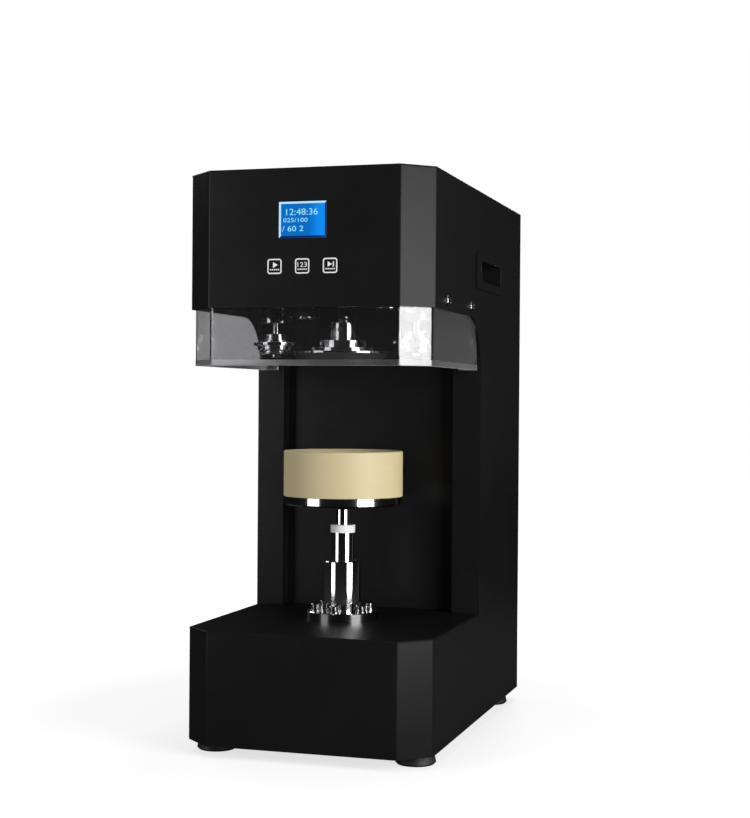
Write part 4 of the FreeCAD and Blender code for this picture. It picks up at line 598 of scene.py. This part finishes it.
WASHER_RADIUS = 4.5 * MM
WASHER_HEIGHT = 0.6 * MM
DOME_RADIUS = 3.3 * MM
DOME_HEIGHT = 2.4 * MM
DOME_ARC = [turn * math.pi / 16 for turn in range(7)]
SHANK_RADIUS = 2 * MM
SHANK_LENGTH = 6.5 * MM
DOME_SOCKET = (1.45 * MM, 1.1 * MM)
CAP_SOCKET = (2.3 * MM, 2.6 * MM)
SET_SOCKET = (1.3 * MM, 2 * MM)
CAP_FOOT = ((0, 0), (5.9, 0), (6, 0.2), (6, 1.2), (5.8, 1.4), (4.7, 1.4), (5, 1.8))
CAP_CROWN = ((5, -0.8), (4.4, -0.2), (4, 0), (0, 0))
SET_SCREW = ((0, -6), (2.5, -6), (2.5, -0.3), (2.2, 0), (0, 0))
SET_SCREW_SUNK = 0.6 * MM
GUIDE_SCREWS_RADIUS = 29 * MM
GUIDE_SCREWS_TURNS = [math.radians(60 * number + 30) for number in range(6)]
HUB_RADIUS = 14.5 * MM
CROSS_HOLE = 2.6 * MM
CROSS_HOLE_HEIGHT = 33 * MM


def dome_screw():
    """Dome head with a hexagon socket on a black washer, standing on the plane Z = 0."""
    rise = DOME_HEIGHT - WASHER_HEIGHT
    arc = [(DOME_RADIUS * math.cos(turn), WASHER_HEIGHT + rise * math.sin(turn)) for turn in DOME_ARC]
    crown = arc[-1][1]
    piece = spin_profile("dome_screw", (0, 0, 0), [
        (0, -SHANK_LENGTH), (SHANK_RADIUS, -SHANK_LENGTH), (SHANK_RADIUS, 0), (WASHER_RADIUS, 0),
        (WASHER_RADIUS, WASHER_HEIGHT / 2), (WASHER_RADIUS - WASHER_HEIGHT / 2, WASHER_HEIGHT),
        *arc, (0, crown)], 32)
    for finish in ("cap_steel", "moulding"):
        piece.data.materials.append(M[finish])
    assign_finish(piece, 1, lambda f: f.calc_center_median().z < WASHER_HEIGHT + 0.01 * MM
                  and f.calc_center_median().xy.length > DOME_RADIUS - 0.1 * MM)
    end_piece(piece)
    cut_socket(piece, crown, *DOME_SOCKET)
    return piece


def cap_screw(height):
    """Cap screw with its washer and a hexagon socket, standing on the plane Z = 0."""
    profile = in_metres(CAP_FOOT) + in_metres(CAP_CROWN, height)
    piece = spin_profile("cap_screw", (0, 0, 0), profile, 36)
    end_piece(piece, "cap_steel")
    cut_socket(piece, height, *CAP_SOCKET)
    return piece


def set_screw():
    """Headless screw with a hexagon socket, its end on the plane Z = 0."""
    piece = spin_profile("hub_set_screw", (0, 0, 0), in_metres(SET_SCREW), 24)
    end_piece(piece, "screw")
    cut_socket(piece, 0, *SET_SOCKET)
    return piece


def make_screws():
    reach = 0.97 * DOME_HEIGHT
    side_tips = tips("housing_screws", lambda p: abs(p.x) > SIDE_X + reach)
    back_tips = tips("housing_screws", lambda p: p.y > BACK_Y + reach)
    spots = [((math.copysign(SIDE_X, p.x), p.y, p.z), (math.copysign(1, p.x), 0, 0))
             for p in side_tips]
    spots += [((p.x, BACK_Y, p.z), (0, 1, 0)) for p in back_tips]
    domes = copies(dome_screw(), "dome_screws", spots)
    end_piece(domes)
    fix_to(domes, "housing", "fastener_steel", "housing_screws")

    spots = [((GUIDE_SCREWS_RADIUS * math.cos(turn), AXIS_Y + GUIDE_SCREWS_RADIUS * math.sin(turn),
               GUIDE_SCREW_LOW.z), (0, 0, 1)) for turn in GUIDE_SCREWS_TURNS]
    caps = copies(cap_screw(GUIDE_SCREW_HIGH.z - GUIDE_SCREW_LOW.z), "cap_screws", spots)
    end_piece(caps)
    fix_to(caps, "housing", "fastener_steel", "guide_screws")

    spot = (0, AXIS_Y - HUB_RADIUS + SET_SCREW_SUNK, CHUCK_LOW.z + CROSS_HOLE_HEIGHT)
    hub_screw = copies(set_screw(), "hub_set_screw", [(spot, (0, -1, 0))])
    end_piece(hub_screw)
    fix_to(hub_screw, "chuck", "turned_steel")


# Seaming chuck and rollers, their outlines from the underside up, in millimetres

TOOL_STEPS = 128
TOOL_ANGLE = 12
SPINDLE_BORE = 7.52 * MM
BOLT_BORE = 4.05 * MM
CHUCK_OUTLINE = (
    (37.8, 6), (38.1, 5.8), (39.3, 0.3), (39.7, 0), (49.1, 0), (49.5, 0.3), (52.4, 7.2), (52.7, 7.4),
    (53.7, 7.4), (54, 7.7), (54, 9.4), (53.7, 9.7), (34.7, 9.7), (34.5, 9.9), (34.5, 13.6), (34.1, 14),
    (26.7, 14), (26.5, 14.2), (26.5, 21.4), (26.1, 21.8), (14.7, 21.8), (14.5, 22), (14.5, 40.2),
    (13.5, 41.2))
ROLLER_OUTLINE = (
    (12.7, 0), (13.1, 0.05), (18.2, 0.95), (18.5, 1.2), (18.5, 1.8), (18.3, 2.05), (16.5, 2.8),
    (16.5, 4.2), (19.8, 5.3), (20, 5.6), (20, 9.7), (20.2, 9.9), (23.6, 9.9), (24, 10.3), (24, 13.3),
    (23.6, 13.7), (15.7, 13.7), (15.5, 13.9), (15.5, 15.7), (15.2, 16), (13, 16), (12.8, 16.2),
    (12.8, 22), (11.8, 23))


def turned_tool(name, centre, outline, bore):
    """A turned ring with broken corners, from its outer outline and its bore."""
    points = in_metres(outline)
    foot, head = (bore, points[0][1]), (bore, points[-1][1])
    return spin_profile(name, centre, [foot, *points, head, foot], TOOL_STEPS)


def make_chuck():
    """Seaming chuck: hollow underside, tapered lip, flange, two steps and a hub with its cross hole."""
    chuck = turned_tool("turned_chuck", (0, AXIS_Y, CHUCK_LOW.z), CHUCK_OUTLINE, SPINDLE_BORE)
    end_piece(chuck, "steel", TOOL_ANGLE)
    bpy.ops.object.select_all(action="DESELECT")
    bpy.ops.mesh.primitive_cylinder_add(
        vertices=32, radius=CROSS_HOLE, depth=HUB_RADIUS - MM, rotation=(math.pi / 2, 0, 0),
        location=(0, AXIS_Y - HUB_RADIUS, CHUCK_LOW.z + CROSS_HOLE_HEIGHT))
    drill_out(chuck, bpy.context.object)
    fix_to(chuck, "chuck", "turned_steel", "seaming_chuck")


def make_rollers():
    """Seaming rollers: the groove that folds the seam, wide rim, stepped body and neck."""
    for order in ("first", "second"):
        low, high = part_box("%s_seaming_roller" % order)
        centre = ((low.x + high.x) / 2, (low.y + high.y) / 2, low.z)
        finish = "%s_roller_steel" % order
        M[finish] = turned(finish, STEEL, 0.06, 0.04, POLISH_BUMP, centre=centre)
        roller = turned_tool("%s_turned_roller" % order, centre, ROLLER_OUTLINE, BOLT_BORE)
        end_piece(roller, finish, TOOL_ANGLE)
        fix_to(roller, "%s_roller" % order, "turned_steel", "%s_seaming_roller" % order)


# Handle lips, guard edge, lock ring

HANDLE_END = 20 * MM
HANDLE_BORDER = 9 * MM
OPENING_CORNER = 6 * MM
OPENING_SCOOP = 16 * MM
LIP_WIDTH = 0.9 * MM
LIP_RISE = 0.45 * MM
LIP_SUNK = 0.3 * MM
LIP_ROUND = 0.3 * MM


def make_handle_lips():
    """A rounded lip round the opening of each handle pocket, on its moulded flange."""
    front, back = HANDLE_LOW.y + HANDLE_END - LIP_WIDTH, HANDLE_HIGH.y - HANDLE_END + LIP_WIDTH
    foot, head = HANDLE_LOW.z + HANDLE_BORDER - LIP_WIDTH, HANDLE_HIGH.z - HANDLE_BORDER + LIP_WIDTH

    def at_scoop(edge):
        return abs(middle(edge).y - front) < MM and abs(middle(edge).z - foot) < MM

    lips = []
    for side in (-1, 1):
        inner, outer = sorted((side * (HANDLE_HIGH.x - LIP_SUNK), side * (HANDLE_HIGH.x + LIP_RISE)))
        lips.append(begin_box("lip", (inner, front, foot), (outer, back, head)))
        pick("EDGE", lambda e: abs(along(e).x) > 0.9 and not at_scoop(e))
        bpy.ops.mesh.bevel(offset=OPENING_CORNER + LIP_WIDTH, segments=6)
        pick("EDGE", lambda e: abs(along(e).x) > 0.9 and at_scoop(e))
        bpy.ops.mesh.bevel(offset=OPENING_SCOOP + LIP_WIDTH, segments=10)
        pick("FACE", lambda f: abs(f.normal.x) > 0.9)
        bpy.ops.mesh.inset(thickness=LIP_WIDTH)
        bpy.ops.mesh.bridge_edge_loops()
        pick("EDGE", lambda e: e.is_manifold and e.calc_face_angle() > math.radians(60))
        bpy.ops.mesh.bevel(offset=LIP_ROUND, segments=3)
        bpy.ops.object.mode_set(mode="OBJECT")
    both = join("handle_lips", lips)
    end_piece(both, "lip")
    fix_to(both, "housing", "black_moulding")


TRIM_HEIGHT = 5.4 * MM
TRIM_SKIN = 0.3 * MM


def make_guard_trim():
    """Clip-on edge trim along the guard's lower edge, from a copy of the guard's lowest strip."""
    bpy.ops.object.select_all(action="DESELECT")
    strip = NODES["acrylic_guard"].copy()
    strip.data = strip.data.copy()
    strip.parent = None
    strip.matrix_world = Matrix.Identity(4)
    bpy.context.scene.collection.objects.link(strip)
    strip.name = strip.data.name = "guard_trim"
    strip.select_set(True)
    bpy.context.view_layer.objects.active = strip
    bpy.ops.object.mode_set(mode="EDIT")
    bpy.ops.mesh.select_mode(type="VERT")
    bpy.ops.mesh.select_all(action="SELECT")
    bpy.ops.mesh.remove_doubles(threshold=0.005 * MM)
    bpy.ops.mesh.bisect(plane_co=(0, 0, GUARD_LOW.z + TRIM_HEIGHT), plane_no=(0, 0, 1),
                        clear_outer=True, use_fill=True)
    bpy.ops.mesh.select_all(action="SELECT")
    bpy.ops.mesh.dissolve_limited(angle_limit=math.radians(1))
    bpy.ops.mesh.select_all(action="SELECT")
    bpy.ops.transform.shrink_fatten(value=TRIM_SKIN)
    bpy.ops.mesh.normals_make_consistent(inside=False)
    end_piece(strip, "trim")
    fix_to(strip, "housing", "clear_acrylic")


KNURL_COLUMNS = 48
KNURL_ROWS = 4
KNURL_DEPTH = 0.35 * MM
ROD_CLEARANCE = 0.05 * MM


def make_lock_ring():
    """Nylon lock ring with a diamond knurl round it and a bore for the height rod."""
    height = RING_HIGH.z - RING_LOW.z
    outer = (RING_HIGH.x - RING_LOW.x) / 2 - KNURL_DEPTH
    bore = (ROD_HIGH.x - ROD_LOW.x) / 2 + ROD_CLEARANCE

    def knurled(face):
        spot = face.calc_center_median()
        from_axis = math.hypot(spot.x, spot.y - AXIS_Y)
        return abs(face.normal.z) < 0.5 and from_axis > outer - 0.6 * MM

    ring = begin_piece("knurled_lock_ring", bpy.ops.mesh.primitive_cylinder_add, radius=outer,
                       vertices=KNURL_COLUMNS, depth=height,
                       location=(0, AXIS_Y, RING_LOW.z + height / 2))
    pick("FACE", lambda f: abs(f.normal.z) > 0.9)
    bpy.ops.mesh.inset(thickness=outer - bore)
    bpy.ops.mesh.bridge_edge_loops()
    for row in range(1, KNURL_ROWS):
        pick("FACE", knurled)
        bpy.ops.mesh.bisect(plane_co=(0, AXIS_Y, RING_LOW.z + height * row / KNURL_ROWS),
                            plane_no=(0, 0, 1))
    pick("FACE", knurled)
    bpy.ops.mesh.poke(offset=KNURL_DEPTH, use_relative_offset=False)
    bpy.ops.mesh.select_all(action="SELECT")
    bpy.ops.mesh.normals_make_consistent(inside=False)
    end_piece(ring, "white_nylon", 15)
    fix_to(ring, "ram", "white_nylon", "lock_ring")


# Display and keys

SCREEN_RIM = 1.9 * MM
SCREEN_SUNK = 0.5 * MM
PRINT_LIFT = 0.06 * MM
PRINT_HALF = 0.02 * MM
PATCH_CORNER = 0.12 * MM
TRIANGLE_CORNER = 0.2 * MM


def make_screen():
    """Display face with a sloping rim, pale where the light falls on it and dark opposite."""
    screen = begin_box("screen_face", LENS_LOW, LENS_HIGH)
    pick("FACE", lambda f: f.normal.y < -0.9)
    bpy.ops.mesh.inset(thickness=SCREEN_RIM, depth=-SCREEN_SUNK)
    for finish in ("screen", "screen_rim", "screen_shadow"):
        screen.data.materials.append(M[finish])
    # Painted highlight on the rim's upper and left slopes, painted shade on its lower and right slopes.
    sides = ((1, lambda spot: spot.z > LENS_HIGH.z - SCREEN_RIM),
             (2, lambda spot: spot.z < LENS_LOW.z + SCREEN_RIM),
             (1, lambda spot: spot.x < LENS_LOW.x + SCREEN_RIM),
             (2, lambda spot: spot.x > LENS_HIGH.x - SCREEN_RIM))
    for index, on_side in sides:
        assign_finish(screen, index,
                      lambda f: f.normal.y < -0.5 and on_side(f.calc_center_median()))
    end_piece(screen)
    fix_to(screen, "housing", "display_glass", "display_lens")


def print_text(name, words, low, high, face):
    """Figures between two corners (x, z) on the upright plane Y = face, as a mesh."""
    bpy.ops.object.select_all(action="DESELECT")
    bpy.ops.object.text_add()
    text = bpy.context.object
    text.data.body = words
    text.data.size = 10 * MM
    text.data.extrude = PRINT_HALF
    text.data.resolution_u = 4
    bpy.ops.object.convert(target="MESH")
    piece = bpy.context.object
    piece.name = piece.data.name = name
    points = [vertex.co for vertex in piece.data.vertices]
    left, right = min(p.x for p in points), max(p.x for p in points)
    foot, head = min(p.y for p in points), max(p.y for p in points)
    wide, tall = (high[0] - low[0]) / (right - left), (high[1] - low[1]) / (head - foot)
    piece.data.transform(Matrix((
        (wide, 0, 0, low[0] - left * wide),
        (0, 0, -1, face),
        (0, tall, 0, low[1] - foot * tall),
        (0, 0, 0, 1))))
    return piece


def print_patch(name, low, high, face):
    """A flat printed bar between two corners (x, z), with its ends cut a little short."""
    piece = begin_box(name, (low[0], face - PRINT_HALF, low[1]), (high[0], face + PRINT_HALF, high[1]))
    pick("EDGE", lambda e: abs(along(e).y) > 0.9)
    bpy.ops.mesh.bevel(offset=PATCH_CORNER, segments=2)
    bpy.ops.object.mode_set(mode="OBJECT")
    return piece


def print_triangle(name, centre, radius, face):
    """A printed triangle that points to the right."""
    piece = begin_piece(name, bpy.ops.mesh.primitive_cylinder_add, vertices=3, radius=radius,
                        depth=2 * PRINT_HALF, location=(centre[0], face, centre[1]),
                        rotation=(math.pi / 2, math.pi / 2, 0))
    pick("EDGE", lambda e: abs(along(e).y) > 0.9)
    bpy.ops.mesh.bevel(offset=TRIANGLE_CORNER, segments=2)
    bpy.ops.object.mode_set(mode="OBJECT")
    return piece


OUTLINE_SIZE = 15.0 * MM
OUTLINE_CORNER = 2.6 * MM
OUTLINE_WIDTH = 1.3 * MM


def print_outline(name, x, z, face):
    """A rounded square ring."""
    half = OUTLINE_SIZE / 2
    piece = begin_box(name, (x - half, face - PRINT_HALF, z - half),
                      (x + half, face + PRINT_HALF, z + half))
    pick("EDGE", lambda e: abs(along(e).y) > 0.9)
    bpy.ops.mesh.bevel(offset=OUTLINE_CORNER, segments=5)
    pick("FACE", lambda f: abs(f.normal.y) > 0.9)
    bpy.ops.mesh.inset(thickness=OUTLINE_WIDTH)
    bpy.ops.mesh.bridge_edge_loops()
    bpy.ops.object.mode_set(mode="OBJECT")
    return piece


# Rows of figures, in millimetres from the screen's upper left corner: left, right, foot, head
SCREEN_ROWS = (("12:48:36", 7.4, 40.4, 13.3, 6.9), ("025/100", 4.4, 29.8, 20.2, 16.1),
               ("/ 60 2", 3.2, 25.5, 29.2, 23.8))


def make_screen_figures():
    face = LENS_LOW.y + SCREEN_SUNK - PRINT_LIFT
    x, z = LENS_LOW.x, LENS_HIGH.z
    rows = [print_text("row", words, (x + left * MM, z - foot * MM),
                       (x + right * MM, z - head * MM), face)
            for words, left, right, foot, head in SCREEN_ROWS]
    figures = join("screen_figures", rows)
    end_piece(figures, "screen_lines")
    fix_to(figures, "housing", "display_glass")


# Signs on the keys, in millimetres from a key's centre: across and up, with a radius for a triangle
RUN_TRIANGLE = (0.1, 1.4, 3.4)
STEP_TRIANGLE = (-1.0, 1.4, 3.1)
STOP_BAR = (2.7, -1.2), (4.0, 4.0)
COUNT_FIGURES = (-4.9, -1.0), (4.9, 3.7)
MARKS = [-4.85 + 2.05 * number for number in range(5)]
MARK_LENGTH = 1.5
MARK_FOOT, MARK_HEAD = -3.9, -2.6


def make_key_prints():
    """Outline, sign and a row of short marks on each key: run, count and single step."""
    for node, body in (("start_key", "start_button"), ("count_key", "count_button"),
                       ("jog_key", "jog_button")):
        low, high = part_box(node)
        x, z = (low.x + high.x) / 2, (low.z + high.z) / 2
        face = low.y - PRINT_LIFT / 2

        def on_key(across, up):
            return x + across * MM, z + up * MM

        signs = [print_outline("outline", x, z, face)]
        if node == "start_key":
            signs.append(print_triangle("run", on_key(*RUN_TRIANGLE[:2]), RUN_TRIANGLE[2] * MM, face))
        elif node == "count_key":
            foot, head = COUNT_FIGURES
            signs.append(print_text("figures", "123", on_key(*foot), on_key(*head), face))
        else:
            foot, head = STOP_BAR
            signs.append(print_triangle("step", on_key(*STEP_TRIANGLE[:2]), STEP_TRIANGLE[2] * MM, face))
            signs.append(print_patch("stop", on_key(*foot), on_key(*head), face))
        for start in MARKS:
            signs.append(print_patch("mark", on_key(start, MARK_FOOT),
                                     on_key(start + MARK_LENGTH, MARK_HEAD), face))
        sign = join("%s_sign" % node, signs)
        end_piece(sign, "key_print")
        fix_to(sign, body, "key_plastic")


# Stage

FLOOR_SIZE = 12.0
SHADOW_NEAR = 0.35
SHADOW_FAR = 0.9
SHADOW_WHITE = 0.72
FLOOR_GREY = (0.35, 0.35, 0.35, 1)
FLOOR_IN_STEEL = (0.06, 0.06, 0.06, 1)
DIFFUSE_LEVEL = 0.08
GLOSSY_LEVEL = 0.03


def straight_sight(tree, path):
    """1 for a ray from the camera, also through clear sheets, and 0 once it has met a surface."""
    met = plus(tree, path.outputs["Glossy Depth"], path.outputs["Diffuse Depth"])
    unmet = math_node(tree, "LESS_THAN", met, 0.5)
    through = times(tree, path.outputs["Is Transmission Ray"], unmet)
    return math_node(tree, "MAXIMUM", path.outputs["Is Camera Ray"], through)


def build_floor():
    """Pale floor that keeps the machine's soft shadow and turns white further away."""
    bpy.ops.object.select_all(action="DESELECT")
    bpy.ops.mesh.primitive_plane_add(size=FLOOR_SIZE)
    floor = bpy.context.object
    floor.name = floor.data.name = "floor"
    material, tree, shader = new_material("pale_floor")
    where, _ = object_place(tree)
    away = tree.nodes.new("ShaderNodeVectorMath")
    away.operation = "LENGTH"
    tree.links.new(where, away.inputs[0])
    white_out = spread_node(tree, away.outputs["Value"], SHADOW_NEAR, SHADOW_FAR, SHADOW_WHITE, 1)
    path = tree.nodes.new("ShaderNodeLightPath")
    tree.links.new(mix_colour(tree, path.outputs["Is Glossy Ray"], FLOOR_GREY, FLOOR_IN_STEEL),
                   shader.inputs["Base Color"])
    shader.inputs["Roughness"].default_value = 0.9
    shader.inputs["Specular IOR Level"].default_value = 0
    white = tree.nodes.new("ShaderNodeEmission")
    tree.links.new(times(tree, straight_sight(tree, path), white_out), white.inputs["Strength"])
    both = tree.nodes.new("ShaderNodeAddShader")
    tree.links.new(shader.outputs[0], both.inputs[0])
    tree.links.new(white.outputs[0], both.inputs[1])
    tree.links.new(both.outputs[0], tree.nodes["Material Output"].inputs["Surface"])
    floor.data.materials.append(material)


def build_world():
    """White where the camera sees it, and a dim studio for light and reflections."""
    world = bpy.data.worlds.new("studio")
    bpy.context.scene.world = world
    world.use_nodes = True
    tree = world.node_tree
    background = tree.nodes["Background"]
    path = tree.nodes.new("ShaderNodeLightPath")
    level = spread_node(tree, path.outputs["Is Glossy Ray"], 0, 1, DIFFUSE_LEVEL, GLOSSY_LEVEL)
    background.inputs["Color"].default_value = (1, 1, 1, 1)
    tree.links.new(math_node(tree, "MAXIMUM", straight_sight(tree, path), level),
                   background.inputs["Strength"])


# Upright softboxes: azimuth round the seaming axis (0 in front of the machine, 90 on its right),
# distance, lower and upper edge, width, brightness
SOFTBOXES = {
    "right_softbox": (62, 1.2, 0.01, 0.79, 0.675, 10.5),
    "left_softbox": (-41, 1.2, 0.01, 1.1, 0.51, 3.6),
    "rear_softbox": (235, 2.0, 1.0, 2.0, 0.8, 3.0),
    "back_softbox": (180, 1.2, 0.3, 1.9, 0.24, 9.5),
}
TOP_SOFTBOX_PLACE = (0, -0.3, 1.9)
TOP_SOFTBOX = (1.2, 0.8, 3.0)


def rectangle_lamp(name, width, depth, brightness, place):
    data = bpy.data.lights.new(name, "AREA")
    data.shape = "RECTANGLE"
    data.size = width
    data.size_y = depth
    data.energy = brightness * math.pi * width * depth
    lamp = bpy.data.objects.new(name, data)
    bpy.context.scene.collection.objects.link(lamp)
    lamp.location = place
    return lamp


def build_lights():
    for name, (azimuth, distance, low, high, width, brightness) in SOFTBOXES.items():
        turn = math.radians(azimuth)
        away = Vector((math.sin(turn), -math.cos(turn), 0))
        place = Vector((0, AXIS_Y, (low + high) / 2)) + away * distance
        lamp = rectangle_lamp(name, width, high - low, brightness, place)
        lamp.rotation_euler = away.to_track_quat("Z", "Y").to_euler()
    rectangle_lamp("top_softbox", *TOP_SOFTBOX, TOP_SOFTBOX_PLACE)


build_camera()
dress_nodes()
make_screws()
make_chuck()
make_rollers()
make_handle_lips()
make_guard_trim()
make_lock_ring()
make_screen()
make_screen_figures()
make_key_prints()
build_floor()
build_world()
build_lights()
bpy.context.scene.view_settings.view_transform = "Standard"
